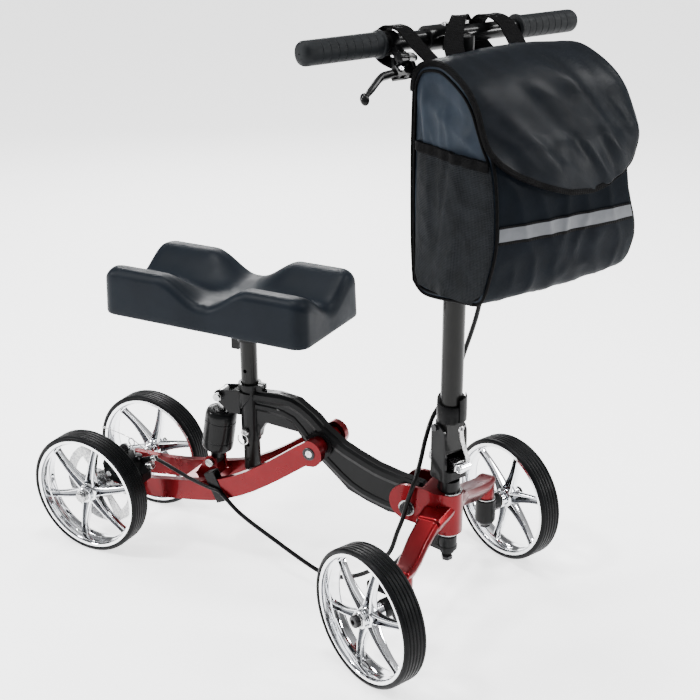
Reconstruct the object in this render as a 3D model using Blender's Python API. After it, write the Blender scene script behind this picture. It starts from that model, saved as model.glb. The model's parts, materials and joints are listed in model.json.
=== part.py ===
"""Knee walker with four spoked wheels, rear swing arm, steering linkage and folding stem.

Metres, +X forward, +Y to the rider's left, +Z up. Pieces are written with the rear axle at x = 0
and the floor at z = 0, then all of them move together to the final origin.
"""
import math

import bpy
import bmesh
from mathutils import Matrix, Vector

for old in list(bpy.data.objects):
    bpy.data.objects.remove(old, do_unlink=True)

# Clearances
GAP = 0.0003
RUN = 0.0004
PLAY = 0.0008

# Wheels
WHEEL_R = 0.1016
RIM_LIP_R = WHEEL_R - 0.0073
RIM_BED_R = WHEEL_R - 0.0116
RIM_IN_R = WHEEL_R - 0.0148
TYRE_HALF = 0.0188
RIM_HALF = 0.0169
HUB_R = 0.0165
HUB_HALF = 0.0200
SPINDLE_R = 0.0060
SPOKES = 6
WHEEL_STEPS = 28

# Rear axle and swing arm
REAR_Y = 0.0880
PIVOT = (0.386, 0.238)
ARM_OUT = 0.0445
ARM_IN = 0.0325
SLEEVE_R = 0.0150
ROTOR_R = 0.0700
ROTOR_Y = 0.0590
ROTOR_THICK = 0.0018

# Front end
STEER_X = 0.5950
STEER_ANGLE = math.radians(-24.6)
TRACK = 0.1513
OFFSET = 0.0540
TRAIL = 0.0074
CRANK_LEN = 0.0500
CRANK_HALF = 0.0150
ROD_Z = 0.1065
CRANK_LOW = ROD_Z + 0.0055
CRANK_HIGH = CRANK_LOW + 0.0060
HEAD_LOW = CRANK_HIGH + 0.0250
HEAD_TOP = 0.2082
HEAD_R = 0.0215
SHAFT_R = 0.0127
LUG_OUT = 0.0300
LUG_IN = 0.0250
LUG_BOLT = (0.5416, 0.1796)
KING_R = 0.0060
KING_Z = WHEEL_R + 0.0194
KING_TOP = KING_Z + 0.0385
SLEEVE_TOP_R = 0.0130

# Column, stem and handlebar
CLEVIS_LOW = 0.2320
CLEVIS_FLOOR = 0.2490
CLEVIS_TOP = 0.3180
CLEVIS_BACK = -0.0233
CLEVIS_FRONT = 0.0190
EAR_IN = 0.0168
EAR_OUT = 0.0218
FOLD_F = -0.0080
FOLD_Z = 0.3130
TONGUE_LONG = 0.0410
LOCK_Z = 0.2565
CAM_R = 0.0076
STEM_R = 0.0158
STEM_TOP = 0.6000
POST_R = 0.0127
BAR_BACK = 0.0300
BAR_Z = 0.8520
BAR_R = 0.0111
BAR_HALF = 0.2306
GRIP_R = 0.0152

# Seat
SEAT_X = 0.2585
SEAT_TUBE_R = 0.0155
SEAT_POST_R = 0.0130
SEAT_TUBE_LOW = 0.2176
SEAT_TUBE_TOP = 0.3045
PIN_Z = 0.2350
HOLE_PITCH = 0.0250
HOLE_R = 0.0032
PAD_X0 = 0.0606
PAD_X1 = 0.4000
PAD_HALF = 0.0865
PAD_LOW = 0.4247
PAD_TOP = 0.4970

# Shock absorber
SHOCK_TOP = (0.2101, 0.2849)
SHOCK_LOW = (0.1884, 0.1648)
SHOCK_R = 0.0250
SHOCK_ROD_R = 0.0060

# Brake cable
CABLE_R = 0.0025

STEER = Matrix.Translation((STEER_X, 0, 0)) @ Matrix.Rotation(STEER_ANGLE, 4, "Z")


# Materials

def material(name, colour, metal, rough):
    mat = bpy.data.materials.get(name)
    if mat is None:
        mat = bpy.data.materials.new(name)
        mat.use_nodes = True
        shader = mat.node_tree.nodes["Principled BSDF"]
        shader.inputs["Base Color"].default_value = (*colour, 1)
        shader.inputs["Metallic"].default_value = metal
        shader.inputs["Roughness"].default_value = rough
    return mat


def red_paint():
    return material("red_paint", (0.55, 0.02, 0.03), 0.3, 0.3)


def black_paint():
    return material("black_paint", (0.015, 0.015, 0.017), 0.1, 0.35)


def chrome():
    return material("chrome", (0.8, 0.8, 0.82), 1.0, 0.12)


def zinc():
    return material("zinc", (0.55, 0.56, 0.58), 1.0, 0.35)


def rubber():
    return material("rubber", (0.02, 0.02, 0.02), 0.0, 0.75)


def foam():
    return material("pad_cover", (0.02, 0.022, 0.05), 0.0, 0.6)


def cloth():
    return material("bag_cloth", (0.012, 0.012, 0.014), 0.0, 0.9)


# Mesh helpers

def finish(name, bm, mat, place=None, smooth=False):
    bmesh.ops.recalc_face_normals(bm, faces=bm.faces)
    mesh = bpy.data.meshes.new(name)
    bm.to_mesh(mesh)
    bm.free()
    obj = bpy.data.objects.new(name, mesh)
    bpy.context.scene.collection.objects.link(obj)
    obj.data.materials.append(mat)
    if smooth:
        mesh.shade_smooth()
        mesh.set_sharp_from_angle(angle=math.radians(40))
    if place is not None:
        mesh.transform(place)
    return obj


def combine(obj, other, kind):
    """Boolean of two objects; the second one is used up."""
    bpy.context.view_layer.update()
    mod = obj.modifiers.new("join", "BOOLEAN")
    mod.operation = kind
    mod.solver = "EXACT"
    mod.object = other
    deps = bpy.context.evaluated_depsgraph_get()
    deps.update()
    mesh = bpy.data.meshes.new_from_object(obj.evaluated_get(deps))
    obj.modifiers.clear()
    old = obj.data
    mesh.name = obj.name
    obj.data = mesh
    bpy.data.meshes.remove(old)
    bpy.data.objects.remove(other, do_unlink=True)
    return obj


def add(obj, *others):
    for other in others:
        combine(obj, other, "UNION")
    return obj


def cut(obj, *others):
    for other in others:
        combine(obj, other, "DIFFERENCE")
    return obj


def smooth(obj, angle=40):
    obj.data.shade_smooth()
    obj.data.set_sharp_from_angle(angle=math.radians(angle))
    return obj


def rehome(obj, place):
    """Move the origin to a joint without moving the mesh."""
    bpy.context.view_layer.update()
    obj.data.transform(place.inverted() @ obj.matrix_world)
    obj.matrix_world = place
    return obj


def frame_to(axis, origin):
    """Matrix that lays local Z along the axis at the origin."""
    turn = Vector((0, 0, 1)).rotation_difference(Vector(axis).normalized())
    return Matrix.Translation(origin) @ turn.to_matrix().to_4x4()


def lathe(name, profile, mat, axis=(0, 0, 1), origin=(0, 0, 0), steps=20, bore=False):
    """Turn (radius, height) points about an axis; with bore the profile is a closed loop."""
    bm = bmesh.new()
    rings = []
    for i in range(steps):
        turn = 2 * math.pi * (i + 0.5) / steps
        ring = []
        for radius, height in profile:
            ring.append(bm.verts.new((radius * math.cos(turn), radius * math.sin(turn), height)))
        rings.append(ring)
    count = len(profile)
    for i in range(steps):
        one = rings[i]
        two = rings[(i + 1) % steps]
        for k in range(count if bore else count - 1):
            nxt = (k + 1) % count
            bm.faces.new((one[k], two[k], two[nxt], one[nxt]))
    if not bore:
        bm.faces.new([ring[0] for ring in rings])
        bm.faces.new([ring[-1] for ring in reversed(rings)])
    return finish(name, bm, mat, frame_to(axis, origin), True)


def rod(name, radius, start, end, mat, steps=20):
    """Plain cylinder between two points."""
    line = Vector(end) - Vector(start)
    return lathe(name, [(radius, 0), (radius, line.length)], mat, line, start, steps)


def pipe(name, outer, inner, start, end, mat, steps=20):
    """Cylinder with a through bore."""
    line = Vector(end) - Vector(start)
    long = line.length
    profile = [(outer, 0), (outer, long), (inner, long), (inner, 0)]
    return lathe(name, profile, mat, line, start, steps, True)


def slab(name, outline, low, high, mat, plane="XZ", place=None):
    """Extrude an outline; the plane names its two axes, the third runs from low to high."""
    bm = bmesh.new()
    layers = []
    for level in (low, high):
        layer = []
        for u, v in outline:
            point = {"XZ": (u, level, v), "XY": (u, v, level), "YZ": (level, u, v)}[plane]
            layer.append(bm.verts.new(point))
        layers.append(layer)
    bm.faces.new(layers[0])
    bm.faces.new(list(reversed(layers[1])))
    count = len(outline)
    for i in range(count):
        j = (i + 1) % count
        bm.faces.new((layers[0][i], layers[0][j], layers[1][j], layers[1][i]))
    return finish(name, bm, mat, place)


def box(name, x, y, z, mat, place=None):
    outline = [(x[0], z[0]), (x[1], z[0]), (x[1], z[1]), (x[0], z[1])]
    return slab(name, outline, y[0], y[1], mat, "XZ", place)


def loft(name, sections, mat, place=None, soft=True):
    """Skin closed sections that have equal point counts."""
    bm = bmesh.new()
    rings = [[bm.verts.new(p) for p in section] for section in sections]
    count = len(sections[0])
    for one, two in zip(rings, rings[1:]):
        for i in range(count):
            j = (i + 1) % count
            bm.faces.new((one[i], one[j], two[j], two[i]))
    bm.faces.new(list(reversed(rings[0])))
    bm.faces.new(rings[-1])
    return finish(name, bm, mat, place, soft)


def arc(cx, cy, radius, start, end, steps):
    """Points on an arc, angles in degrees, both ends included."""
    points = []
    for i in range(steps + 1):
        turn = math.radians(start + (end - start) * i / steps)
        points.append((cx + radius * math.cos(turn), cy + radius * math.sin(turn)))
    return points


def curve_through(points, count):
    """Evenly spaced points on a smooth curve through the given ones."""
    pts = [Vector(p) for p in points]
    dense = []
    for i in range(len(pts) - 1):
        p0 = pts[max(i - 1, 0)]
        p1 = pts[i]
        p2 = pts[i + 1]
        p3 = pts[min(i + 2, len(pts) - 1)]
        for k in range(24):
            t = k / 24
            a = 2 * p1 + (p2 - p0) * t
            b = (2 * p0 - 5 * p1 + 4 * p2 - p3) * t ** 2
            c = (3 * p1 - p0 - 3 * p2 + p3) * t ** 3
            dense.append((a + b + c) / 2)
    dense.append(pts[-1])
    total = [0.0]
    for a, b in zip(dense, dense[1:]):
        total.append(total[-1] + (b - a).length)
    out = []
    k = 0
    for i in range(count):
        want = total[-1] * i / (count - 1)
        while k < len(total) - 2 and total[k + 1] < want:
            k += 1
        span = total[k + 1] - total[k]
        out.append(dense[k].lerp(dense[k + 1], (want - total[k]) / span if span else 0))
    return out


def sweep(name, points, radius, mat, sides=8, place=None):
    """Round tube along points, with a frame carried along without twist."""
    pts = [Vector(p) for p in points]
    heads = []
    for i in range(len(pts)):
        heads.append((pts[min(i + 1, len(pts) - 1)] - pts[max(i - 1, 0)]).normalized())
    side = heads[0].orthogonal().normalized()
    sections = []
    for i, point in enumerate(pts):
        side = (side - heads[i] * side.dot(heads[i])).normalized()
        up = heads[i].cross(side)
        ring = []
        for k in range(sides):
            turn = 2 * math.pi * k / sides
            ring.append(point + radius * (math.cos(turn) * side + math.sin(turn) * up))
        sections.append(ring)
    return loft(name, sections, mat, place)


# Wheels

def tyre(name):
    w = TYRE_HALF
    half = [(RIM_BED_R + GAP, RIM_HALF - 0.0032), (RIM_LIP_R + GAP, RIM_HALF - 0.0022)]
    half += [(RIM_LIP_R + GAP, w - 0.0006), (WHEEL_R - 0.0030, w), (WHEEL_R, w - 0.0050)]
    profile = half + [(r, -a) for r, a in reversed(half)]
    return lathe(name, profile, rubber(), (0, 1, 0), (0, 0, 0), WHEEL_STEPS, True)


def spoked_wheel(name, outboard, place, hub_in):
    """Barrel rim, six channelled spokes and a long hub with a spindle bore."""
    h = RIM_HALF
    profile = [(RIM_LIP_R, h), (RIM_LIP_R, h - 0.0018), (RIM_BED_R, h - 0.0028)]
    profile += [(RIM_BED_R, -h + 0.0028), (RIM_LIP_R, -h + 0.0018), (RIM_LIP_R, -h)]
    profile += [(RIM_IN_R, -h + 0.0012), (RIM_IN_R, h - 0.0012)]
    wheel = lathe(name, profile, chrome(), (0, 1, 0), (0, 0, 0), WHEEL_STEPS, True)
    hub = lathe("hub", [(HUB_R, -hub_in), (HUB_R, HUB_HALF - 0.004), (HUB_R - 0.002, HUB_HALF)],
                chrome(), (0, outboard, 0), (0, 0, 0), 18)
    add(wheel, hub)
    for i in range(SPOKES):
        turn = 2 * math.pi * (i + 0.28) / SPOKES
        along = Vector((math.cos(turn), 0, math.sin(turn)))
        side = Vector((-math.sin(turn), 0, math.cos(turn)))
        out = Vector((0, outboard, 0))
        sections = []
        stations = [(HUB_R - 0.002, 0.0070, 0.0058), (HUB_R + 0.014, 0.0066, 0.0045),
                    (RIM_IN_R + 0.0012, 0.0052, 0.0040)]
        for dist, half, deep in stations:
            ring = [(-half, -deep), (half, -deep), (half, deep), (half * 0.45, deep),
                    (0, deep * 0.1), (-half * 0.45, deep), (-half, deep)]
            sections.append([along * dist + side * u + out * v for u, v in ring])
        add(wheel, loft("spoke", sections, chrome(), None, False))
    cut(wheel, rod("bore", SPINDLE_R + RUN, (0, -0.1, 0), (0, 0.1, 0), chrome(), 12))
    wheel.name = name
    return wheel


def put(obj, place):
    """Place a mesh that was built about its own origin."""
    obj.matrix_world = place
    return smooth(obj)


def make_wheel(side, place, outboard, hub_in):
    put(tyre("tyre_" + side), place)
    put(spoked_wheel("wheel_" + side, outboard, place, hub_in), place)


def wheel_cap(name, place, outboard, start):
    """Washer and domed hex cap outside the hub."""
    cap = lathe(name, [(0.0105, start), (0.0105, start + 0.0015), (0.0088, start + 0.0016),
                       (0.0088, start + 0.0070), (0.0060, start + 0.0088)],
                black_paint(), (0, outboard, 0), (0, 0, 0), 12)
    return put(cap, place)


rear_right = Matrix.Translation((0, -REAR_Y, WHEEL_R))
rear_left = Matrix.Translation((0, REAR_Y, WHEEL_R))
make_wheel("rear_right", rear_right, -1, HUB_HALF + 0.0022)
make_wheel("rear_left", rear_left, 1, HUB_HALF)


# Front knuckles, seen from the steered frame of each kingpin

def knuckle_place(sign):
    return Matrix.Translation((STEER_X, sign * TRACK, 0)) @ Matrix.Rotation(STEER_ANGLE, 4, "Z")


def front_wheel_place(sign):
    return knuckle_place(sign) @ Matrix.Translation((-TRAIL, sign * OFFSET, WHEEL_R))


def make_knuckle(side, sign):
    place = knuckle_place(sign)
    body = lathe("knuckle_" + side, [(0.0100, KING_Z - 0.0450), (0.0150, KING_Z - 0.0400),
                                     (0.0165, KING_Z - 0.0360), (0.0160, KING_Z - 0.0015),
                                     (0.0135, KING_Z - 0.0005), (KING_R, KING_Z - 0.0004),
                                     (KING_R, KING_TOP - 0.0045)],
                 black_paint(), steps=18)
    inner = OFFSET - HUB_HALF - GAP
    axle = lathe("axle", [(0.0140, 0), (0.0140, inner - 0.004), (0.0122, inner),
                          (SPINDLE_R, inner), (SPINDLE_R, OFFSET + HUB_HALF)],
                 black_paint(), (0, sign, 0), (-TRAIL, 0, WHEEL_R), 16)
    plan = [(0.0, 0.0100 * sign), (-CRANK_LEN, (CRANK_HALF + 0.0080) * sign)]
    end = (-CRANK_LEN, CRANK_HALF * sign)
    outline = [(0.0, -0.0100 * sign)]
    outline += [(x, y) for x, y in arc(end[0], end[1], 0.0080, -90 * sign, -270 * sign, 8)]
    outline += [plan[0]]
    arm = slab("steering_arm", outline, CRANK_LOW, CRANK_HIGH, black_paint(), "XY")
    pin = rod("rod_pin", 0.0030, (*end, ROD_Z - 0.0070), (*end, CRANK_LOW + 0.0005), black_paint(), 12)
    add(body, axle, arm, pin)
    return put(body, place)


for side, sign in (("front_right", -1), ("front_left", 1)):
    make_knuckle(side, sign)
    make_wheel(side, front_wheel_place(sign), sign, HUB_HALF)
    wheel_cap("axle_cap_" + side, front_wheel_place(sign), sign, HUB_HALF + GAP)


# Tie rods

def make_tie_rod(side, sign):
    start = STEER @ Vector((-CRANK_LEN, sign * CRANK_HALF, 0))
    end = knuckle_place(sign) @ Vector((-CRANK_LEN, sign * CRANK_HALF, 0))
    base = Matrix.Translation((start.x, start.y, ROD_Z))
    line = Vector((end.x - start.x, end.y - start.y, 0))
    bar = rod("tie_rod_" + side, 0.0042, (0, 0, 0), line, black_paint(), 12)
    for spot in (Vector((0, 0, 0)), line):
        eye = lathe("eye", [(0.0065, -0.0045), (0.0080, -0.0030), (0.0080, 0.0030), (0.0065, 0.0045)],
                    black_paint(), (0, 0, 1), spot, 16)
        add(bar, eye)
    up = Vector((0, 0, 0.05))
    cut(bar, rod("bore", 0.0030 + RUN, -up, up, black_paint(), 12))
    cut(bar, rod("bore", 0.0030 + PLAY, line - up, line + up, black_paint(), 12))
    return put(bar, base)


make_tie_rod("right", -1)
make_tie_rod("left", 1)


# Frame

def make_main_beam():
    web = [(0.2620, 0.3040), (0.2880, 0.3040), (0.3120, 0.3065), (0.3470, 0.3030), (0.3810, 0.2820), (0.3980, 0.2650),
           (0.4240, 0.2480), (0.4490, 0.2370), (0.4830, 0.2250), (0.5160, 0.2180), (0.5350, 0.2150),
           (0.5550, 0.2130), (0.5600, 0.2080), (0.5600, 0.1580), (0.5550, 0.1520), (0.5000, 0.1505),
           (0.4660, 0.1590), (0.4320, 0.1710), (0.4150, 0.1860), (0.3890, 0.2075), (0.3530, 0.2410),
           (0.3460, 0.2490), (0.2890, 0.2520), (0.2795, 0.2384), (0.2760, 0.2240), (0.2620, 0.2240)]
    beam = slab("main_beam", web, -0.0060, 0.0060, black_paint())
    top = [(0.2620, 0.2922), (0.2880, 0.2925), (0.3100, 0.2950), (0.3400, 0.2925), (0.3720, 0.2735), (0.3900, 0.2560),
           (0.4180, 0.2385), (0.4460, 0.2265), (0.4800, 0.2140), (0.5150, 0.2070), (0.5500, 0.2030)]
    low = [(0.2620, 0.2755), (0.3000, 0.2760), (0.3250, 0.2735), (0.3430, 0.2650), (0.3570, 0.2490),
           (0.3720, 0.2330), (0.3950, 0.2140), (0.4220, 0.1920), (0.4460, 0.1770), (0.4750, 0.1670),
           (0.5100, 0.1605), (0.5500, 0.1600)]
    for path, radius in ((top, 0.0115), (low, 0.0090)):
        route = curve_through([(x, 0, z) for x, z in path], 18)
        add(beam, sweep("rail", route, radius, black_paint(), 10))
    boss = rod("boss", 0.0215, (PIVOT[0], -0.0120, PIVOT[1]), (PIVOT[0], 0.0120, PIVOT[1]),
               black_paint())
    nose = rod("nose", 0.0165, (LUG_BOLT[0], -LUG_IN + GAP, LUG_BOLT[1]),
               (LUG_BOLT[0], LUG_IN - GAP, LUG_BOLT[1]), black_paint())
    add(beam, boss, nose)
    cut(beam, rod("bore", SLEEVE_R + RUN, (PIVOT[0], -0.1, PIVOT[1]), (PIVOT[0], 0.1, PIVOT[1]),
                  black_paint()))
    cut(beam, rod("bore", 0.0050 + GAP, (LUG_BOLT[0], -0.1, LUG_BOLT[1]),
                  (LUG_BOLT[0], 0.1, LUG_BOLT[1]), black_paint(), 16))
    cut(beam, rod("cope", SEAT_TUBE_R + GAP, (SEAT_X, 0, 0.1), (SEAT_X, 0, 0.5), black_paint(), 24))
    return smooth(beam, 30)


def make_seat_tube():
    tube = pipe("seat_tube", SEAT_TUBE_R, SEAT_POST_R + RUN, (SEAT_X, 0, SEAT_TUBE_LOW),
                (SEAT_X, 0, SEAT_TUBE_TOP), black_paint(), 24)
    cut(tube, rod("pin_hole", HOLE_R + GAP, (SEAT_X, -0.05, PIN_Z), (SEAT_X, 0, PIN_Z),
                  black_paint(), 16))
    return smooth(tube)


def make_seat_collar():
    low = SEAT_TUBE_TOP + GAP
    high = low + 0.0082
    collar = pipe("seat_collar", 0.0180, SEAT_POST_R + RUN, (SEAT_X, 0, low), (SEAT_X, 0, high),
                  black_paint(), 24)
    ear = box("ear", (SEAT_X + 0.0150, SEAT_X + 0.0260), (-0.0075, 0.0075), (low, high), black_paint())
    slit = box("slit", (SEAT_X + 0.005, SEAT_X + 0.05), (-0.0010, 0.0010), (low - 0.01, high + 0.01),
               black_paint())
    add(collar, ear)
    cut(collar, slit)
    return smooth(collar)


def make_shock_bracket():
    outline = [(0.2440, 0.3010), (0.2480, 0.3010), (0.2480, 0.2600), (0.2259, 0.2606)]
    outline += arc(SHOCK_TOP[0], SHOCK_TOP[1], 0.0095, 245, 100, 10)
    bracket = slab("shock_bracket", outline, -0.0145, 0.0145, black_paint())
    cut(bracket, box("slot", (0.15, 0.2340), (-0.0115, 0.0115), (0.2, 0.4), black_paint()))
    cut(bracket, rod("cope", SEAT_TUBE_R + GAP, (SEAT_X, 0, 0.1), (SEAT_X, 0, 0.5), black_paint(), 24))
    cut(bracket, rod("bore", 0.0040 + GAP, (SHOCK_TOP[0], -0.1, SHOCK_TOP[1]),
                     (SHOCK_TOP[0], 0.1, SHOCK_TOP[1]), black_paint(), 16))
    return smooth(bracket)


def cross_bolt(name, spot, shank, heads, radius, head, mat):
    """Bolt along Y with a hex head on the right and a nut on the left, heads in (start, end)."""
    inner, outer = heads
    profile = [(head, -outer), (head, -inner), (shank, -inner),
               (shank, inner), (head, inner), (head, outer)]
    return lathe(name, profile, mat, (0, 1, 0), (spot[0], 0, spot[1]), 12)


def make_front_head():
    outline = [(0.6050, HEAD_TOP), (0.5700, 0.2167)] + arc(0.5416, 0.1882, 0.0288, 88, 262, 12)
    outline += [(0.5556, 0.1577), (0.5780, 0.1500), (0.6050, 0.1500)]
    head = slab("front_head", outline, -LUG_OUT, LUG_OUT, red_paint())
    add(head, rod("tube", HEAD_R, (STEER_X, 0, HEAD_LOW), (STEER_X, 0, HEAD_TOP), red_paint(), 28))
    cut(head, box("slot", (0.48, 0.5640), (-LUG_IN, LUG_IN), (0.1, 0.3), red_paint()))
    for sign in (-1, 1):
        plan = [(STEER_X - 0.0100, sign * 0.05), (STEER_X - 0.0100, sign * LUG_OUT),
                (STEER_X + 0.0100, sign * (HEAD_R - 0.0025)), (0.65, sign * (HEAD_R - 0.0025)),
                (0.65, sign * 0.05)]
        cut(head, slab("corner", plan, 0.1, 0.3, red_paint(), "XY"))
    cut(head, rod("bore", SHAFT_R + RUN, (STEER_X, 0, 0.05), (STEER_X, 0, 0.35), red_paint(), 24))
    cut(head, rod("seat", 0.0172, (STEER_X, 0, HEAD_TOP), (STEER_X, 0, 0.3), red_paint(), 24))
    cut(head, rod("bolt_hole", 0.0050 + GAP, (LUG_BOLT[0], -0.1, LUG_BOLT[1]),
                  (LUG_BOLT[0], 0.1, LUG_BOLT[1]), red_paint(), 16))
    return smooth(head)


def make_axle_arm(side, sign):
    """Wedge-topped arm from the head to a kingpin sleeve that is closed on top."""
    unit = [(0, 0.60), (0.02, 0.85), (0.15, 1), (0.75, 1), (1, 0.75), (0.82, 0.38), (0.58, 0), (0.25, 0),
            (0.05, 0.25)]
    stations = [(0.0080, 0.5665, 0.6120, 0.1570, 0.1940), (0.0520, 0.5675, 0.6060, 0.1490, 0.1845),
                (0.0535, 0.5690, 0.6035, 0.1505, 0.1820), (0.0900, 0.5670, 0.6020, 0.1370, 0.1680),
                (TRACK - 0.0090, STEER_X - 0.0150, STEER_X + 0.0135, KING_Z + 0.0060, KING_TOP - 0.0060)]
    sections = []
    for y, rear, front, low, high in stations:
        sections.append([(rear + (front - rear) * u, sign * y, low + (high - low) * v) for u, v in unit])
    arm = loft("axle_arm_" + side, sections, red_paint())
    sleeve = lathe("sleeve", [(0.0124, KING_Z), (SLEEVE_TOP_R, KING_Z + 0.0080), (SLEEVE_TOP_R, KING_TOP - 0.0030),
                              (SLEEVE_TOP_R - 0.0030, KING_TOP)],
                   red_paint(), (0, 0, 1), (STEER_X, sign * TRACK, 0))
    add(arm, sleeve)
    face = LUG_OUT + GAP
    plan = [(0.50, 0), (0.50, face), (STEER_X - 0.0100, face), (STEER_X + 0.0100, HEAD_R - 0.0025 + GAP)]
    plan += arc(STEER_X, 0, HEAD_R + GAP, 60, 0, 6)
    cut(arm, slab("head_room", [(x, sign * y) for x, y in plan], 0.1, 0.3, red_paint(), "XY"))
    cut(arm, rod("bore", KING_R + RUN, (STEER_X, sign * TRACK, 0.05),
                 (STEER_X, sign * TRACK, KING_TOP - 0.0040), red_paint(), 16))
    return smooth(arm)


make_main_beam()
make_seat_tube()
make_seat_collar()
make_shock_bracket()
make_front_head()
make_axle_arm("right", -1)
make_axle_arm("left", 1)
smooth(cross_bolt("lug_bolt", LUG_BOLT, 0.0050, (LUG_OUT + GAP, LUG_OUT + 0.0060), 0, 0.0100,
                  black_paint()))
smooth(cross_bolt("shock_upper_bolt", SHOCK_TOP, 0.0040, (0.0145 + GAP, 0.0200), 0, 0.0072, zinc()))


# Swing arm, built at rest about its pivot

SWING = Matrix.Translation((PIVOT[0], 0, PIVOT[1]))


def make_swing_arm(side, sign):
    top = [(0.3600, 0.2425), (0.3365, 0.2251), (0.3080, 0.2040), (0.2816, 0.1864), (0.2500, 0.1680),
           (0.2156, 0.1528), (0.1800, 0.1430), (0.1480, 0.1362), (0.0884, 0.1253), (0.0450, 0.1210)]
    bottom = [(0.0400, 0.0860), (0.0900, 0.0930), (0.1457, 0.1015), (0.2040, 0.1130), (0.2420, 0.1270),
              (0.2802, 0.1465), (0.3200, 0.1725), (0.3533, 0.1965), (0.3800, 0.2165)]
    outline = []
    for route, count in ((top, 14), (bottom, 14)):
        outline.append([(p.x, p.z) for p in curve_through([(x, 0, z) for x, z in route], count)])
    outline = outline[0] + arc(0, WHEEL_R, 0.0180, 90, 260, 8) + outline[1]
    outline += arc(PIVOT[0], PIVOT[1], 0.0215, -70, 95, 9)
    low, high = sorted((sign * ARM_IN, sign * ARM_OUT))
    arm = slab("swing_arm_" + side, outline, low, high, red_paint())
    cut(arm, rod("recess", 0.0090, (PIVOT[0], sign * (ARM_OUT - 0.004), PIVOT[1]),
                 (PIVOT[0], sign * 0.06, PIVOT[1]), red_paint()))
    cut(arm, rod("pivot_hole", 0.0040 + GAP, (PIVOT[0], -0.1, PIVOT[1]), (PIVOT[0], 0.1, PIVOT[1]),
                 red_paint(), 16))
    cut(arm, rod("axle_hole", SPINDLE_R + GAP, (0, -0.2, WHEEL_R), (0, 0.2, WHEEL_R), red_paint()))
    return rehome(smooth(arm), SWING)


def make_rear_axle():
    """Through axle with shoulder sleeves, washers and hex caps."""
    out = REAR_Y + HUB_HALF + GAP
    half = [(SPINDLE_R, 0.0), (SPINDLE_R, out), (0.0105, out), (0.0105, out + 0.0015),
            (0.0088, out + 0.0016), (0.0088, out + 0.0070), (0.0060, out + 0.0088)]
    profile = [(r, -y) for r, y in reversed(half[1:])] + half[1:]
    axle = lathe("rear_axle", profile, zinc(), (0, 1, 0), (0, 0, WHEEL_R), 16)
    right = REAR_Y - HUB_HALF - 0.0022 - GAP
    left = REAR_Y - HUB_HALF - GAP
    for sign, end in ((-1, right), (1, left)):
        add(axle, rod("spacer", 0.0100, (0, sign * (ARM_OUT + GAP), WHEEL_R), (0, sign * end, WHEEL_R),
                      zinc(), 16))
    return rehome(smooth(axle), SWING)


def make_pivot_sleeve():
    sleeve = pipe("pivot_sleeve", SLEEVE_R, 0.0040 + GAP, (PIVOT[0], -ARM_IN + GAP, PIVOT[1]),
                  (PIVOT[0], ARM_IN - GAP, PIVOT[1]), red_paint())
    return rehome(smooth(sleeve), SWING)


def make_shock_lower_bracket():
    """Cross plate between the arms with two ears for the shock's lower eye."""
    outline = [(0.1480, 0.1240), (0.1980, 0.1280), (0.1990, 0.1400)]
    outline += arc(SHOCK_LOW[0], SHOCK_LOW[1], 0.0108, -20, 160, 10)
    outline += [(0.1600, 0.1400), (0.1480, 0.1360)]
    bracket = slab("shock_lower_bracket", outline, -0.0160, 0.0160, red_paint())
    cut(bracket, box("slot", (0.10, 0.25), (-0.0115, 0.0115), (0.1420, 0.3), red_paint()))
    cut(bracket, rod("bore", 0.0040 + GAP, (SHOCK_LOW[0], -0.1, SHOCK_LOW[1]),
                     (SHOCK_LOW[0], 0.1, SHOCK_LOW[1]), red_paint(), 16))
    plate = box("plate", (0.1500, 0.1960), (-ARM_IN + GAP, ARM_IN - GAP), (0.1250, 0.1390), red_paint())
    add(bracket, plate)
    return rehome(smooth(bracket), SWING)


STOP_FROM = Vector((0.0720, -0.0490, 0.1549))
STOP_END = Vector((0.0980, -0.0490, 0.1650))


def make_calliper():
    """Two-sided brake calliper that straddles the rotor, with a bolted foot and cable stop."""
    near = ROTOR_Y + 0.0085
    body = [(0.0150, 0.1290), (0.0250, 0.1180), (0.0480, 0.1150), (0.0760, 0.1180), (0.0900, 0.1260),
            (0.0920, 0.1420), (0.0820, 0.1560), (0.0620, 0.1690), (0.0380, 0.1700), (0.0200, 0.1600),
            (0.0120, 0.1450)]
    calliper = slab("brake_calliper", body, -near, -ARM_OUT - GAP, black_paint())
    slot = 0.0016 + ROTOR_THICK / 2
    cut(calliper, lathe("slot", [(ROTOR_R + 0.0015, -slot), (ROTOR_R + 0.0015, slot)], black_paint(),
                        (0, 1, 0), (0, -ROTOR_Y, WHEEL_R), 32))
    stop = rod("stop", 0.0045, STOP_FROM, STOP_END, black_paint(), 12)
    add(calliper, stop)
    return rehome(smooth(calliper), SWING)


def make_rotor():
    """Brake disc with windows, bolted to the inner end of the hub."""
    y = -ROTOR_Y
    half = ROTOR_THICK / 2
    rotor = rod("brake_rotor", ROTOR_R, (0, y - half, WHEEL_R), (0, y + half, WHEEL_R), zinc(), 32)
    for i in range(6):
        start = 60 * i + 10
        outline = arc(0, WHEEL_R, 0.0540, start, start + 40, 6)
        outline += list(reversed(arc(0, WHEEL_R, 0.0260, start + 4, start + 36, 4)))
        cut(rotor, slab("window", outline, y - 0.01, y + 0.01, zinc()))
    hub_end = -(REAR_Y - HUB_HALF - 0.0022)
    add(rotor, rod("carrier", 0.0200, (0, hub_end + GAP, WHEEL_R), (0, y, WHEEL_R), zinc(), 24))
    cut(rotor, rod("bore", 0.0100 + RUN, (0, -0.2, WHEEL_R), (0, 0.2, WHEEL_R), zinc(), 24))
    return put(rehome(rotor, rear_right), rear_right)


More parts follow.
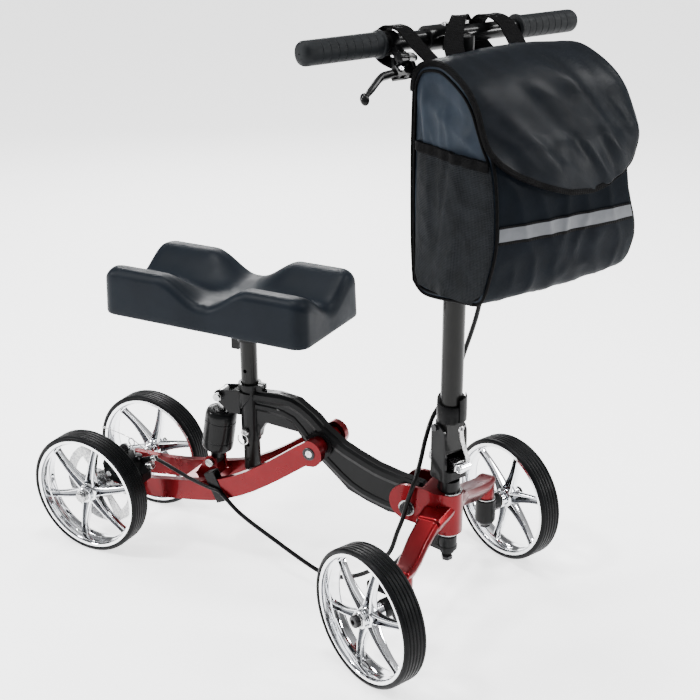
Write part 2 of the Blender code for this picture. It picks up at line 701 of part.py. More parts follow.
def make_cable_clip():
    """Strap round the right arm that holds the cable on its outer face."""
    line = Vector((0.0236, 0, -0.0478)).normalized()
    side = Vector((line.z, 0, -line.x))
    centre = Vector((0.2149, 0, 0.1401))
    place = Matrix((
        (side.x, 0, line.x, centre.x), (0, 1, 0, 0), (side.z, 0, line.z, centre.z), (0, 0, 0, 1)))
    clip = box("cable_clip", (-0.0098, 0.0098), (-ARM_OUT - 0.0014, -ARM_IN + 0.0014),
               (-0.0255, 0.0262), rubber(), place)
    cut(clip, box("inside", (-0.02, 0.02), (-ARM_OUT - GAP, -ARM_IN + GAP), (-0.0234, 0.0240),
                  rubber(), place))
    return rehome(clip, SWING)


make_swing_arm("right", -1)
make_swing_arm("left", 1)
make_pivot_sleeve()
rehome(smooth(cross_bolt("pivot_bolt", PIVOT, 0.0040, (ARM_OUT - 0.0037, ARM_OUT + 0.0008), 0,
                         0.0058, zinc())), SWING)
make_rear_axle()
make_shock_lower_bracket()
rehome(smooth(cross_bolt("shock_lower_bolt", SHOCK_LOW, 0.0040, (0.0160 + GAP, 0.0205), 0, 0.0070,
                         zinc())), SWING)
make_calliper()
make_rotor()
make_cable_clip()


# Calliper arm turns about Y beside the calliper's front stop

ARM_PIN = (0.0480, 0.1420)


def make_calliper_arm():
    y0 = -ROTOR_Y - 0.0085 - 0.0045
    y1 = -ROTOR_Y - 0.0085 - GAP
    place = Matrix.Translation((ARM_PIN[0], 0, ARM_PIN[1]))
    disc = rod("calliper_arm", 0.0095, (ARM_PIN[0], y0, ARM_PIN[1]), (ARM_PIN[0], y1, ARM_PIN[1]),
               black_paint())
    tip = (0.0560, 0.1600)
    outline = arc(tip[0], tip[1], 0.0045, -60, 120, 6)
    outline += [(ARM_PIN[0] - 0.0075, ARM_PIN[1] + 0.0045), (ARM_PIN[0] + 0.0075, ARM_PIN[1] - 0.0045)]
    blade = slab("blade", outline, y0 + 0.0005, y1 - 0.0002, black_paint())
    add(disc, blade)
    return rehome(smooth(disc), place)


# Shock absorber

def shock_frame(at):
    line = Vector((SHOCK_LOW[0] - SHOCK_TOP[0], 0, SHOCK_LOW[1] - SHOCK_TOP[1]))
    return frame_to(line, (at[0], 0, at[1])), line.length


def make_shock():
    place, long = shock_frame(SHOCK_TOP)
    rod_body = lathe("shock_rod", [(0.0060, 0.0050), (0.0090, 0.0060), (0.0090, 0.0130), (0.0078, 0.0140),
                                   (0.0078, 0.0200), (SHOCK_ROD_R, 0.0205), (SHOCK_ROD_R, 0.0700)],
                     zinc())
    rod_body.matrix_world = place
    eye = rod("eye", 0.0088, (SHOCK_TOP[0], -0.0108, SHOCK_TOP[1]), (SHOCK_TOP[0], 0.0108, SHOCK_TOP[1]),
              zinc())
    add(rod_body, eye)
    cut(rod_body, rod("bore", 0.0040 + RUN, (SHOCK_TOP[0], -0.1, SHOCK_TOP[1]),
                      (SHOCK_TOP[0], 0.1, SHOCK_TOP[1]), zinc(), 16))
    rehome(smooth(rod_body), Matrix.Translation((SHOCK_TOP[0], 0, SHOCK_TOP[1])))
    inner = SHOCK_ROD_R + RUN
    outer = [(0.0120, 0.0285), (0.0205, 0.0300), (SHOCK_R, 0.0370), (SHOCK_R, 0.0900),
             (0.0215, 0.0985), (0.0205, 0.1005), (0.0110, 0.1010), (0.0095, long - 0.002)]
    body = lathe("shock_body", outer, black_paint())
    bore = rod("bore", inner, (0, 0, 0), (0, 0, 0.0820), black_paint())
    cut(body, bore)
    body.matrix_world = place
    low = rod("low_eye", 0.0085, (SHOCK_LOW[0], -0.0108, SHOCK_LOW[1]),
              (SHOCK_LOW[0], 0.0108, SHOCK_LOW[1]), black_paint())
    add(body, low)
    cut(body, rod("bore", 0.0040 + PLAY, (SHOCK_LOW[0], -0.1, SHOCK_LOW[1]),
                  (SHOCK_LOW[0], 0.1, SHOCK_LOW[1]), black_paint(), 16))
    ears = box("ear_room", (0.10, 0.25), (0.0112, 0.05), (0.1, SHOCK_LOW[1] + 0.0095), black_paint())
    ears2 = box("ear_room", (0.10, 0.25), (-0.05, -0.0112), (0.1, SHOCK_LOW[1] + 0.0095), black_paint())
    cut(body, ears, ears2)
    return rehome(smooth(body), Matrix.Translation((SHOCK_LOW[0], 0, SHOCK_LOW[1])))


make_calliper_arm()
make_shock()


# Steering column, built in the steered frame

def rounded(x0, x1, y0, y1, radius, steps):
    """Rectangle with round corners, anticlockwise."""
    points = []
    for x, y, start in ((x1, y1, 0), (x0, y1, 90), (x0, y0, 180), (x1, y0, 270)):
        cx = x - radius if x == x1 else x + radius
        cy = y - radius if y == y1 else y + radius
        points += arc(cx, cy, radius, start, start + 90, steps)
    return points


def make_column():
    """Steering shaft with a collar and the two-eared clevis that carries the stem."""
    column = lathe("steering_column", [(SHAFT_R, HEAD_LOW - 0.0077), (SHAFT_R, HEAD_TOP + 0.0003),
                                       (0.0160, HEAD_TOP + 0.0004), (0.0160, 0.2270), (0.0110, 0.2275),
                                       (0.0110, CLEVIS_LOW + 0.001)], black_paint(), steps=24)
    plan = rounded(CLEVIS_BACK, CLEVIS_FRONT, -EAR_OUT, EAR_OUT, 0.0100, 4)
    clevis = slab("clevis", plan, CLEVIS_LOW, CLEVIS_TOP + 0.01, black_paint(), "XY")
    top = 0.0176
    middle = CLEVIS_BACK + top
    outline = [(CLEVIS_BACK, CLEVIS_LOW + 0.0040), (CLEVIS_BACK + 0.0030, CLEVIS_LOW - 0.0010),
               (CLEVIS_FRONT - 0.0040, CLEVIS_LOW - 0.0010), (CLEVIS_FRONT, CLEVIS_LOW + 0.0030),
               (CLEVIS_FRONT, CLEVIS_FLOOR - 0.0020), (middle + top + 0.0010, CLEVIS_FLOOR + 0.0010)]
    outline += arc(middle, CLEVIS_TOP - top, top, 0, 180, 10)
    combine(clevis, slab("round", outline, -0.03, 0.03, black_paint()), "INTERSECT")
    cut(clevis, box("slot", (-0.0120, 0.05), (-EAR_IN, EAR_IN), (CLEVIS_FLOOR, 0.4), black_paint()))
    cut(clevis, box("back_room", (-0.05, 0.05), (-EAR_IN, EAR_IN), (0.2940, 0.4), black_paint()))
    add(column, clevis)
    cut(column, rod("fold_hole", 0.0030 + GAP, (FOLD_F, -0.1, FOLD_Z), (FOLD_F, 0.1, FOLD_Z),
                    black_paint(), 12))
    cut(column, rod("lock_hole", 0.0030 + GAP, (-0.1, 0, LOCK_Z), (0, 0, LOCK_Z), black_paint(), 12))
    return put(column, STEER)


def make_crank():
    """Crank plate under the head tube with its two rod pins."""
    outline = arc(0, 0, 0.0150, -75, 75, 6)
    for sign, a, b in ((1, 60, 180), (-1, 180, 300)):
        outline += arc(-CRANK_LEN, sign * CRANK_HALF, 0.0085, a, b, 4)
    crank = slab("steering_crank", outline, CRANK_LOW, CRANK_HIGH, black_paint(), "XY")
    hub = lathe("hub", [(0.0080, CRANK_LOW - 0.0080), (0.0105, CRANK_LOW - 0.0065),
                        (0.0105, CRANK_LOW + 0.0005), (0.0142, CRANK_LOW + 0.0010),
                        (0.0142, HEAD_LOW - 0.0090), (0.0130, HEAD_LOW - 0.0080)], black_paint())
    add(crank, hub)
    for sign in (-1, 1):
        pin = rod("pin", 0.0030, (-CRANK_LEN, sign * CRANK_HALF, ROD_Z - 0.0070),
                  (-CRANK_LEN, sign * CRANK_HALF, CRANK_LOW + 0.0005), black_paint(), 12)
        add(crank, pin)
    return put(crank, STEER)


def make_fold_pin():
    pin = rod("fold_pin", 0.0030, (FOLD_F, -EAR_OUT - 0.0005, FOLD_Z), (FOLD_F, EAR_OUT + 0.0005, FOLD_Z),
              zinc(), 12)
    for sign in (-1, 1):
        head = rod("head", 0.0052, (FOLD_F, sign * (EAR_OUT + GAP), FOLD_Z),
                   (FOLD_F, sign * (EAR_OUT + 0.0035), FOLD_Z), zinc(), 16)
        add(pin, head)
    return put(pin, STEER)


CAM_F = 0.0280
BLOCK_END = CAM_F - CAM_R - GAP


def make_skewer():
    """Lock skewer with a knob behind the clevis and a thrust block in front of it."""
    skewer = rod("lock_skewer", 0.0030, (CLEVIS_BACK - 0.0010, 0, LOCK_Z), (BLOCK_END - 0.0010, 0, LOCK_Z),
                 zinc(), 12)
    knob = lathe("knob", [(0.0110, GAP), (0.0125, 0.0020), (0.0125, 0.0085), (0.0100, 0.0110)],
                 black_paint(), (-1, 0, 0), (CLEVIS_BACK, 0, LOCK_Z), 18)
    block = box("block", (0.0060, BLOCK_END), (-0.0090, 0.0090), (CLEVIS_FLOOR + GAP, LOCK_Z + 0.0060),
                black_paint())
    add(skewer, knob, block)
    return put(skewer, STEER)


CAM = STEER @ Matrix.Translation((CAM_F, 0, LOCK_Z))


def make_quick_lever():
    """Cam barrel across the front of the clevis with a flat blade that rises beside the stem."""
    lever = rod("quick_release_lever", CAM_R, (0, -0.0075, 0), (0, 0.0235, 0), chrome(), 24)
    route = [(0.0000, 0.0030), (0.0025, 0.0130), (0.0020, 0.0280), (-0.0020, 0.0440), (-0.0055, 0.0580),
             (-0.0075, 0.0690)]
    path = curve_through([(fwd, 0, z) for fwd, z in route], 12)
    sections = []
    for i, point in enumerate(path):
        narrow = 0.0012 if i == 11 else 0
        ring = []
        for lat, fwd in ((0.0168, -0.0018), (0.0235, -0.0018), (0.0229, 0.0018), (0.0174, 0.0018)):
            ring.append((point.x + fwd, 0.0200 + (lat - 0.0200) * (1 - narrow * 300), point.z))
        sections.append(ring)
    add(lever, loft("blade", sections, chrome()))
    return put(lever, CAM)


FOLD = STEER @ Matrix.Translation((FOLD_F, 0, FOLD_Z))
FOOT = STEER @ Matrix.Translation((0, 0, FOLD_Z))


def make_stem():
    """Stem tube with the tongue that pivots in the clevis."""
    stem = rod("stem_tube", STEM_R, (0, 0, 0.0065), (0, 0, STEM_TOP - FOLD_Z), black_paint(), 24)
    low = -TONGUE_LONG
    outline = [(-0.0145, 0.0090), (-0.0145, -0.0090), (-0.0113, -0.0160), (-0.0113, low), (0.0080, low),
               (0.0105, low + 0.0040), (0.0105, 0.0090)]
    tongue = slab("tongue", outline, -EAR_IN + 0.0006, EAR_IN - 0.0006, black_paint())
    add(stem, tongue)
    cut(stem, rod("bore", POST_R + RUN, (0, 0, 0.0450), (0, 0, 0.6), black_paint(), 24))
    cut(stem, rod("pin_hole", 0.0030 + RUN, (FOLD_F, -0.1, 0), (FOLD_F, 0.1, 0), black_paint(), 12))
    return rehome(put(stem, FOOT), FOLD)


def make_boot():
    """Collar round the foot of the stem with a lapped flap in front."""
    base = 0.3225 - FOLD_Z
    top = 0.3560 - FOLD_Z
    inner = STEM_R + GAP
    boot = lathe("stem_boot", [(0.0178, base), (0.0200, base + 0.0030), (0.0206, top - 0.0015),
                               (0.0196, top), (inner, top), (inner, base)],
                 rubber(), steps=24, bore=True)
    flap = [(0.0175, -0.0060), (0.0222, -0.0050), (0.0222, 0.0050), (0.0175, 0.0060)]
    add(boot, slab("flap", flap, base + 0.0040, top - 0.0030, rubber(), "XY"))
    return rehome(put(boot, FOOT), FOLD)


def make_height_clamp():
    """Split clamp at the top of the stem tube with its bolt ears behind."""
    low = STEM_TOP - 0.0260
    high = STEM_TOP + 0.0020
    clamp = lathe("height_clamp", [(0.0195, low - FOLD_Z), (0.0195, high - FOLD_Z),
                                   (POST_R + RUN, high - FOLD_Z), (POST_R + RUN, STEM_TOP + GAP - FOLD_Z),
                                   (STEM_R + GAP, STEM_TOP + GAP - FOLD_Z), (STEM_R + GAP, low - FOLD_Z)],
                  black_paint(), steps=24, bore=True)
    ear = box("ear", (-0.0320, -0.0175), (-0.0080, 0.0080), (low - FOLD_Z + 0.003, high - FOLD_Z - 0.003),
              black_paint())
    add(clamp, ear)
    cut(clamp, box("slit", (-0.05, -0.010), (-0.0010, 0.0010), (low - FOLD_Z - 0.01, high - FOLD_Z + 0.01),
                   black_paint()))
    return rehome(put(clamp, FOOT), FOLD)


make_column()
make_crank()
make_fold_pin()
make_skewer()
make_quick_lever()
make_stem()
make_boot()
make_height_clamp()


# Handlebar, in the steered frame

def make_bar_parts():
    post = rod("handlebar_post", POST_R, (0, 0, 0.4400), (0, 0, BAR_Z - 0.0220), black_paint(), 24)
    put(post, STEER)
    clamp = rod("bar_clamp", 0.0155, (0, 0, BAR_Z - 0.0217), (0, 0, BAR_Z + 0.0040), black_paint(), 24)
    outline = ((-0.012, -0.0160), (0.012, -0.0160), (0.013, 0), (0.009, 0.0070), (-0.009, 0.0070), (-0.013, 0))
    neck = loft("neck", [[(x, y, BAR_Z + z) for y, z in outline] for x in (0.0050, -0.0240)],
                black_paint(), None, False)
    ring = rod("ring", 0.0158, (-BAR_BACK, -0.0370, BAR_Z), (-BAR_BACK, 0.0120, BAR_Z), black_paint(), 24)
    add(clamp, neck, ring)
    cut(clamp, rod("bore", BAR_R + GAP, (-BAR_BACK, -0.1, BAR_Z), (-BAR_BACK, 0.1, BAR_Z),
                   black_paint(), 24))
    put(clamp, STEER)
    bar = rod("handlebar", BAR_R, (-BAR_BACK, -BAR_HALF + 0.003, BAR_Z), (-BAR_BACK, BAR_HALF - 0.003, BAR_Z),
              black_paint(), 24)
    put(bar, STEER)
    for side, sign, start in (("right", -1, 0.1010), ("left", 1, 0.1205)):
        outer = [(0.0172, start), (0.0172, start + 0.004), (GRIP_R, start + 0.005)]
        outer += [(GRIP_R, BAR_HALF - 0.010), (0.0162, BAR_HALF - 0.008), (0.0162, BAR_HALF),
                  (0.0045, BAR_HALF), (0.0045, BAR_HALF - 0.0025), (BAR_R + GAP, BAR_HALF - 0.0026),
                  (BAR_R + GAP, start)]
        grip = lathe("grip_" + side, outer, rubber(), (0, sign, 0), (0, 0, 0), 24, True)
        put(grip, STEER @ Matrix.Translation((-BAR_BACK, 0, BAR_Z)))


def make_bag():
    """Carry bag with a rounded front and three straps over the bar, as one plain solid."""
    profile = [(0.0330, 0.2950), (0.0300, 0.1850), (0.0290, 0.0480), (0.0360, 0.0290), (0.0540, 0.0180),
               (0.0750, 0.0180), (0.1020, 0.0250), (0.1250, 0.0400), (0.1430, 0.0590), (0.1560, 0.0860),
               (0.1640, 0.1140), (0.1700, 0.1650), (0.1700, 0.2260), (0.1660, 0.2680), (0.1550, 0.2860),
               (0.0660, 0.2960)]
    profile = [(fwd, BAR_Z - below) for fwd, below in profile]
    left, right = -0.1030, 0.1570
    middle = (left + right) / 2
    sections = []
    for lat, inset in ((left, 0.0120), (left + 0.004, 0.0050), (left + 0.014, 0.0), (right - 0.014, 0.0),
                       (right - 0.004, 0.0050), (right, 0.0120)):
        ring = []
        for fwd, z in profile:
            cx, cz = 0.100, BAR_Z - 0.162
            scale = 1 - inset / 0.10
            ring.append((cx + (fwd - cx) * scale, lat, cz + (z - cz) * scale))
        sections.append(ring)
    bag = loft("carry_bag", sections, cloth())
    for a, b in ((-0.0830, -0.0470), (0.0165, 0.0530), (0.0720, 0.1195)):
        outer = arc(-BAR_BACK, BAR_Z, BAR_R + 0.0028, 62, 250, 8)
        outline = outer + [(0.0340, BAR_Z - 0.0470), (0.0420, BAR_Z - 0.0420), (0.0420, BAR_Z - 0.0280)]
        strap = slab("strap", outline, a, b, cloth())
        hole = arc(-BAR_BACK, BAR_Z, BAR_R + GAP, 0, 345, 23)
        cut(strap, slab("hole", hole, a - 0.01, b + 0.01, cloth()))
        inside = [(-0.0120, -0.0020), (-0.0175, -0.0100), (0.0180, -0.0390), (0.0260, -0.0300)]
        inside = [(fwd, BAR_Z + high) for fwd, high in inside]
        cut(strap, slab("inside", inside, a - 0.01, b + 0.01, cloth()))
        add(bag, strap)
    return put(bag, STEER)


LEVER_PIN = Vector((0.0080, -0.1120, BAR_Z - 0.0290))
LEVER_AXIS = Vector((0.75, 0, 0.66)).normalized()
LEVER_SIDE = Vector((0, 1, 0))
LEVER_BACK = LEVER_AXIS.cross(LEVER_SIDE)


STOP_LOW = Vector((0.0092, -0.1110, BAR_Z - 0.0095))
STOP_HIGH = Vector((0.0096, -0.0990, BAR_Z - 0.0115))


def lever_matrix():
    """Local X runs outboard along the blade, local Y away from the bar, local Z along the pin."""
    x = Vector((0, -1, 0))
    z = LEVER_AXIS
    y = z.cross(x)
    turn = Matrix((x, y, z)).transposed().to_4x4()
    return Matrix.Translation(LEVER_PIN) @ turn


def make_lever_mount():
    """Clamp band on the bar with a forked arm that carries the lever pin and the cable stop."""
    mount = pipe("brake_lever_mount", 0.0150, BAR_R + GAP, (-BAR_BACK, -0.1005, BAR_Z),
                 (-BAR_BACK, -0.0885, BAR_Z), black_paint())
    mat = lever_matrix()
    reach = mat.inverted() @ Vector((-BAR_BACK, -0.0945, BAR_Z))
    arm = box("arm", (-0.0205, -0.0110), (reach.y + 0.0125, 0.0058), (-0.0060, 0.0060), black_paint(), mat)
    fork = box("fork", (-0.0130, 0.0065), (-0.0065, 0.0065), (-0.0080, 0.0080), black_paint(), mat)
    cut(fork, box("slot", (-0.0085, 0.02), (-0.02, 0.02), (-0.0038, 0.0038), black_paint(), mat))
    lump = box("lump", (-0.0125, -0.0020), (-0.0170, -0.0060), (0.0042, 0.0160), black_paint(), mat)
    add(mount, lump)
    pin = rod("pin", 0.0022, mat @ Vector((0, 0, -0.0075)), mat @ Vector((0, 0, 0.0075)), zinc(), 12)
    stop = rod("stop", 0.0048, STOP_LOW, STOP_HIGH, zinc(), 16)
    add(mount, arm, fork, pin, stop)
    return put(mount, STEER)


def make_brake_lever():
    mat = lever_matrix()
    route = [(0.0000, 0.0000), (0.0120, 0.0005), (0.0260, 0.0020), (0.0420, 0.0120), (0.0560, 0.0210),
             (0.0630, 0.0260)]
    path = curve_through([(x, y, 0) for x, y in route], 12)
    sections = []
    for i, point in enumerate(path):
        tall = 0.0032 if i < 3 else 0.0055
        thick = 0.0042 if i < 3 else 0.0026
        ring = [(point.x, point.y - thick, -tall), (point.x, point.y + thick, -tall),
                (point.x, point.y + thick, tall), (point.x, point.y - thick, tall)]
        sections.append(ring)
    lever = rod("brake_lever", 0.0052, (0, 0, -0.0034), (0, 0, 0.0034), black_paint(), 16)
    add(lever, loft("blade", sections, black_paint()))
    end = path[-1]
    bm = bmesh.new()
    bmesh.ops.create_icosphere(bm, subdivisions=2, radius=0.0072)
    bmesh.ops.translate(bm, verts=bm.verts, vec=(end.x + 0.002, end.y + 0.001, 0))
    add(lever, finish("ball", bm, black_paint(), None, True))
    cut(lever, rod("bore", 0.0022 + RUN, (0, 0, -0.1), (0, 0, 0.1), black_paint(), 12))
    return put(lever, STEER @ mat)


make_bar_parts()
make_bag()
make_lever_mount()
make_brake_lever()


# Seat

def make_seat_post():
    place = Matrix.Translation((SEAT_X, 0, 0))
    post = pipe("seat_post", SEAT_POST_R, SEAT_POST_R - 0.0020, (0, 0, 0.1655), (0, 0, 0.4120), black_paint(), 24)
    for i in range(-2, 5):
        z = PIN_Z + HOLE_PITCH * i
        cut(post, rod("hole", HOLE_R, (0, -0.05, z), (0, 0.05, z), black_paint(), 8))
    return put(post, place)


def make_pad_bracket():
    place = Matrix.Translation((SEAT_X, 0, 0))
    socket = pipe("pad_bracket", 0.0165, SEAT_POST_R + GAP, (0, 0, 0.3830), (0, 0, 0.4190), black_paint(), 24)
    plate = box("plate", (-0.1300, 0.0800), (-0.0450, 0.0450), (0.4200, 0.4244), black_paint())
    boss = rod("boss", 0.0165, (0, 0, 0.4150), (0, 0, 0.4210), black_paint(), 24)
    fin = slab("fin", [(-0.0295, 0.3640), (-0.0165, 0.3640), (-0.0155, 0.4220), (-0.0600, 0.4220),
                       (-0.0295, 0.3830)], -0.0022, 0.0022, black_paint())
    front = slab("front_fin", [(0.0155, 0.3860), (0.0600, 0.4220), (0.0155, 0.4220)], -0.0022, 0.0022,
                 black_paint())
    add(socket, boss, plate, fin, front)
    return put(socket, place)


def smoothstep(value):
    t = min(max(value, 0.0), 1.0)
    return t * t * (3 - 2 * t)


def pad_height(x, y):
    """Top of the pad: four humps with a trough along and a trough across."""
    middle = 0.2400
    side = 0.4620 + 0.0350 * smoothstep((abs(x - middle) - 0.010) / 0.085)
    low = 0.4550 + 0.0060 * smoothstep((abs(x - middle) - 0.020) / 0.100)
    return low + (side - low) * smoothstep((abs(y) - 0.015) / 0.052)


def make_knee_pad():
    cx = (PAD_X0 + PAD_X1) / 2
    half = (PAD_X1 - PAD_X0) / 2
    corner = 0.0320
    rim = []
    for k, (sx, sy) in enumerate(((1, 1), (-1, 1), (-1, -1), (1, -1))):
        base = Vector((cx + sx * (half - corner), sy * (PAD_HALF - corner)))
        for i in range(6):
            turn = math.radians(90 * k + 90 * i / 5)
            rim.append((base.x + corner * math.cos(turn), base.y + corner * math.sin(turn)))
        nxt = ((1, 1), (-1, 1), (-1, -1), (1, -1))[(k + 1) % 4]
        goal = Vector((cx + nxt[0] * (half - corner), nxt[1] * (PAD_HALF - corner)))
        first = rim[-1]
        turn = math.radians(90 * k + 90)
        last = (goal.x + corner * math.cos(turn), goal.y + corner * math.sin(turn))
        parts = 7 if abs(last[0] - first[0]) > abs(last[1] - first[1]) else 4
        for i in range(1, parts):
            t = i / parts
            rim.append((first[0] + (last[0] - first[0]) * t, first[1] + (last[1] - first[1]) * t))
    rings = []
    for inset, drop in ((0.0020, None), (0.0, None)):
        z = PAD_LOW if inset else PAD_LOW + 0.0040
        rings.append([(cx + (x - cx) * (1 - inset / half), y * (1 - inset / PAD_HALF), z) for x, y in rim])
    for inset, drop in ((0.0010, 0.0180), (0.0030, 0.0100), (0.0070, 0.0042), (0.0130, 0.0010),
                        (0.0210, 0.0), (0.0330, 0.0), (0.0460, 0.0), (0.0600, 0.0), (0.0750, 0.0)):
        ring = []
        for x, y in rim:
            px = cx + (x - cx) * (1 - min(inset * 1.6, half * 0.80) / half)
            if inset < 0.02:
                px = cx + (x - cx) * (1 - inset / half)
            py = y * (1 - inset / PAD_HALF)
            ring.append((px, py, pad_height(px, py) - drop))
        rings.append(ring)
    return loft("knee_pad", rings, foam())


def make_snap_pin():
    """Spring pin through the tube wall with a ball and a pull ring."""
    tip = -SEAT_POST_R - GAP - 0.0002
    pin = lathe("snap_pin", [(HOLE_R, 0), (HOLE_R, 0.0032), (0.0055, 0.0034), (0.0062, 0.0060),
                             (0.0050, 0.0090), (0.0020, 0.0100)], zinc(), (0, -1, 0), (SEAT_X, tip, PIN_Z), 16)
    ring = curve_through([(SEAT_X + 0.0090 * math.sin(math.radians(a)), tip - 0.0125,
                           PIN_Z - 0.0090 + 0.0090 * math.cos(math.radians(a))) for a in range(0, 330, 30)], 14)
    hook = rod("hook", 0.0016, (SEAT_X, tip - 0.0090, PIN_Z), (SEAT_X, tip - 0.0135, PIN_Z), zinc(), 8)
    add(pin, hook, sweep("ring", ring, 0.0011, zinc(), 6))
    return smooth(rehome(pin, Matrix.Translation((SEAT_X, tip, PIN_Z))))


make_seat_post()
make_pad_bracket()
make_knee_pad()
make_snap_pin()


# Brake cable: one route in three sections, split where it starts to flex

def cable(name, points, count, place=None):
    route = [Vector(points[0])] + curve_through(points[1:-1], count - 2) + [Vector(points[-1])]
    long = sum((b - a).length for a, b in zip(route, route[1:]))
    print(name, "length", round(long, 3), "m")
    return sweep(name, route, CABLE_R, rubber(), 6)


def make_cable():
    rise = (STOP_HIGH - STOP_LOW).normalized()
    bar = [STEER @ (STOP_HIGH + rise * GAP), STEER @ (STOP_HIGH + rise * 0.0050)]
    for fwd, lat, z in ((0.0118, -0.0905, BAR_Z - 0.0175), (0.0140, -0.0866, BAR_Z - 0.0340),
                        (0.0150, -0.0800, BAR_Z - 0.0540), (0.0190, -0.0600, 0.7700), (0.0220, -0.0250, 0.7400), (0.0222, 0.0050, 0.7000),
                        (0.0200, 0.0320, 0.6400), (0.0120, 0.0450, 0.5700)):
        bar.append(STEER @ Vector((fwd, lat, z)))
    line = (bar[-1] - bar[-2]).normalized()
    bar.append(bar[-1] + line * 0.0100)
    cable("cable_on_bar", bar, 30)
    end = bar[-1]
    world = [(0.6132, 0.0420, 0.4771), (0.5945, 0.0450, 0.4121), (0.5796, 0.0300, 0.3526),
             (0.5597, 0.0200, 0.3137), (0.5554, 0.0030, 0.2832), (0.5558, -0.0130, 0.2575),
             (0.5560, -0.0280, 0.2359), (0.5541, -0.0370, 0.2210), (0.5485, -0.0420, 0.1975),
             (0.5443, -0.0480, 0.1728), (0.5380, -0.0540, 0.1493), (0.5275, -0.0600, 0.1145),
             (0.4932, -0.0560, 0.0720), (0.4521, -0.0620, 0.0529), (0.4105, -0.0620, 0.0515),
             (0.3172, -0.0560, 0.0864), (0.2649, -0.0520, 0.1090), (0.2360, -0.0495, 0.1290)]
    last = Vector(world[-1])
    finish_line = (last - Vector(world[-2])).normalized()
    last = last + finish_line * 0.0080
    cable("cable_loop", [end + line * GAP, end + line * 0.0120] + world + [last], 60)
    line = finish_line
    into = (STOP_END - STOP_FROM).normalized()
    rear = [last + line * GAP, last + line * 0.0080, (0.2174, -0.0493, 0.1373), (0.1706, -0.0493, 0.1470),
            (0.1330, -0.0492, 0.1590), STOP_END + into * 0.0090, STOP_END + into * GAP]
    rehome(cable("cable_on_swing_arm", rear, 14), SWING)


make_cable()

# The origin is the middle of the underside of the whole object

def centre_on_floor():
    bpy.context.view_layer.update()
    points = [obj.matrix_world @ v.co for obj in bpy.data.objects for v in obj.data.vertices]
    low = Vector([min(p[i] for p in points) for i in range(3)])
    high = Vector([max(p[i] for p in points) for i in range(3)])
    shift = Matrix.Translation((-(low.x + high.x) / 2, -(low.y + high.y) / 2, -low.z))
    for obj in bpy.data.objects:
        obj.matrix_world = shift @ obj.matrix_world
    print("rear axle line now at", [round(value, 6) for value in shift.translation])


centre_on_floor()
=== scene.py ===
"""Knee walker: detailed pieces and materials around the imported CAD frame."""

import json
import bpy
import bmesh
from math import cos, exp, floor, hypot, pi, radians, sin, sqrt, tanh
from mathutils import Matrix, Vector, noise


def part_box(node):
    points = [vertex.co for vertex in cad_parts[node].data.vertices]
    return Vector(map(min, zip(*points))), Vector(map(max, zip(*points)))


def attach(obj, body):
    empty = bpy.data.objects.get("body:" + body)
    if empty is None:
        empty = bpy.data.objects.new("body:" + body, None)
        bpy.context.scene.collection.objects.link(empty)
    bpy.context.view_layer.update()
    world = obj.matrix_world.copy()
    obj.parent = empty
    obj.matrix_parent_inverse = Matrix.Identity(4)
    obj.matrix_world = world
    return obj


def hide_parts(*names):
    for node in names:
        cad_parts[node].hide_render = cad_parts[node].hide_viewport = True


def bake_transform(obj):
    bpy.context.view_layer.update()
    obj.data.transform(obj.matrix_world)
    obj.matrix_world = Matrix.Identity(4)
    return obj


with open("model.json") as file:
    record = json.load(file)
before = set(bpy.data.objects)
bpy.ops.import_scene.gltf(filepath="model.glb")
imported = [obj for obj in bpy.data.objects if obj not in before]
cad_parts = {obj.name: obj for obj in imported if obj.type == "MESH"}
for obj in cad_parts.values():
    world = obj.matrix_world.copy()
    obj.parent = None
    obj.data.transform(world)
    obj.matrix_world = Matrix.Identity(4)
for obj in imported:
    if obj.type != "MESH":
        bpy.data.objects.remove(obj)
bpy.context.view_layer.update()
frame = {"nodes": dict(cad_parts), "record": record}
NODES = frame["nodes"]
BODY_OF = {node: body for body, nodes in frame["record"]["behaviour"]["bodies"].items() for node in nodes}

# Sizes shared with the CAD source, with the rear axle over the origin

WHEEL_R = 0.1016
RIM_LIP_R = 0.0943
TYRE_HALF = 0.0188
RIM_HALF = 0.0169
HUB_HALF = 0.02
REAR_Y = 0.088
PIVOT = (0.386, 0.238)
ARM_OUT = 0.0445
ROTOR_Y = 0.059
STEER_X = 0.595
STEER_ANGLE = radians(-24.6)
TRACK = 0.1513
OFFSET = 0.054
TRAIL = 0.0074
LUG_OUT = 0.03
LUG_BOLT = (0.5416, 0.1796)
HEAD_LOW = 0.143
HEAD_TOP = 0.2082
KING_Z = WHEEL_R + 0.0194
LOCK_Z = 0.2565
CAM_F = 0.028
GRIP_R = 0.0152
BAR_BACK = 0.03
BAR_Z = 0.852
BAR_HALF = 0.2306
SEAT_X = 0.2585
PAD_X0 = 0.0556
PAD_X1 = 0.406
PAD_HALF = 0.0885
PAD_MID = (PAD_X0 + PAD_X1) / 2
PAD_REACH = (PAD_X1 - PAD_X0) / 2
PAD_LOW = 0.4247
PAD_TROUGH = 0.2335
SHOCK_TOP = (0.2101, 0.2849)
SHOCK_LOW = (0.1884, 0.1648)
SHOCK_R = 0.025
BAG_RIGHT = -0.103
BAG_LEFT = 0.157

SIDES = (("right", -1), ("left", 1))


def mm(*rows, up=0.0):
    """Rows written in thousandths, such as points in millimetres, with up added to the last number of each."""
    return [(*(value / 1000 for value in row[:-1]), row[-1] / 1000 + up) for row in rows]


def moved(x, y, z):
    return Matrix.Translation((x, y, z))


AXLE_LOW, AXLE_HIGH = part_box("rear_axle")
SHIFT = Matrix.Translation((AXLE_LOW + AXLE_HIGH) / 2 - Vector((0, 0, WHEEL_R)))
STEER = moved(STEER_X, 0, 0) @ Matrix.Rotation(STEER_ANGLE, 4, "Z")


# Materials: colours in thousandths, sizes in metres

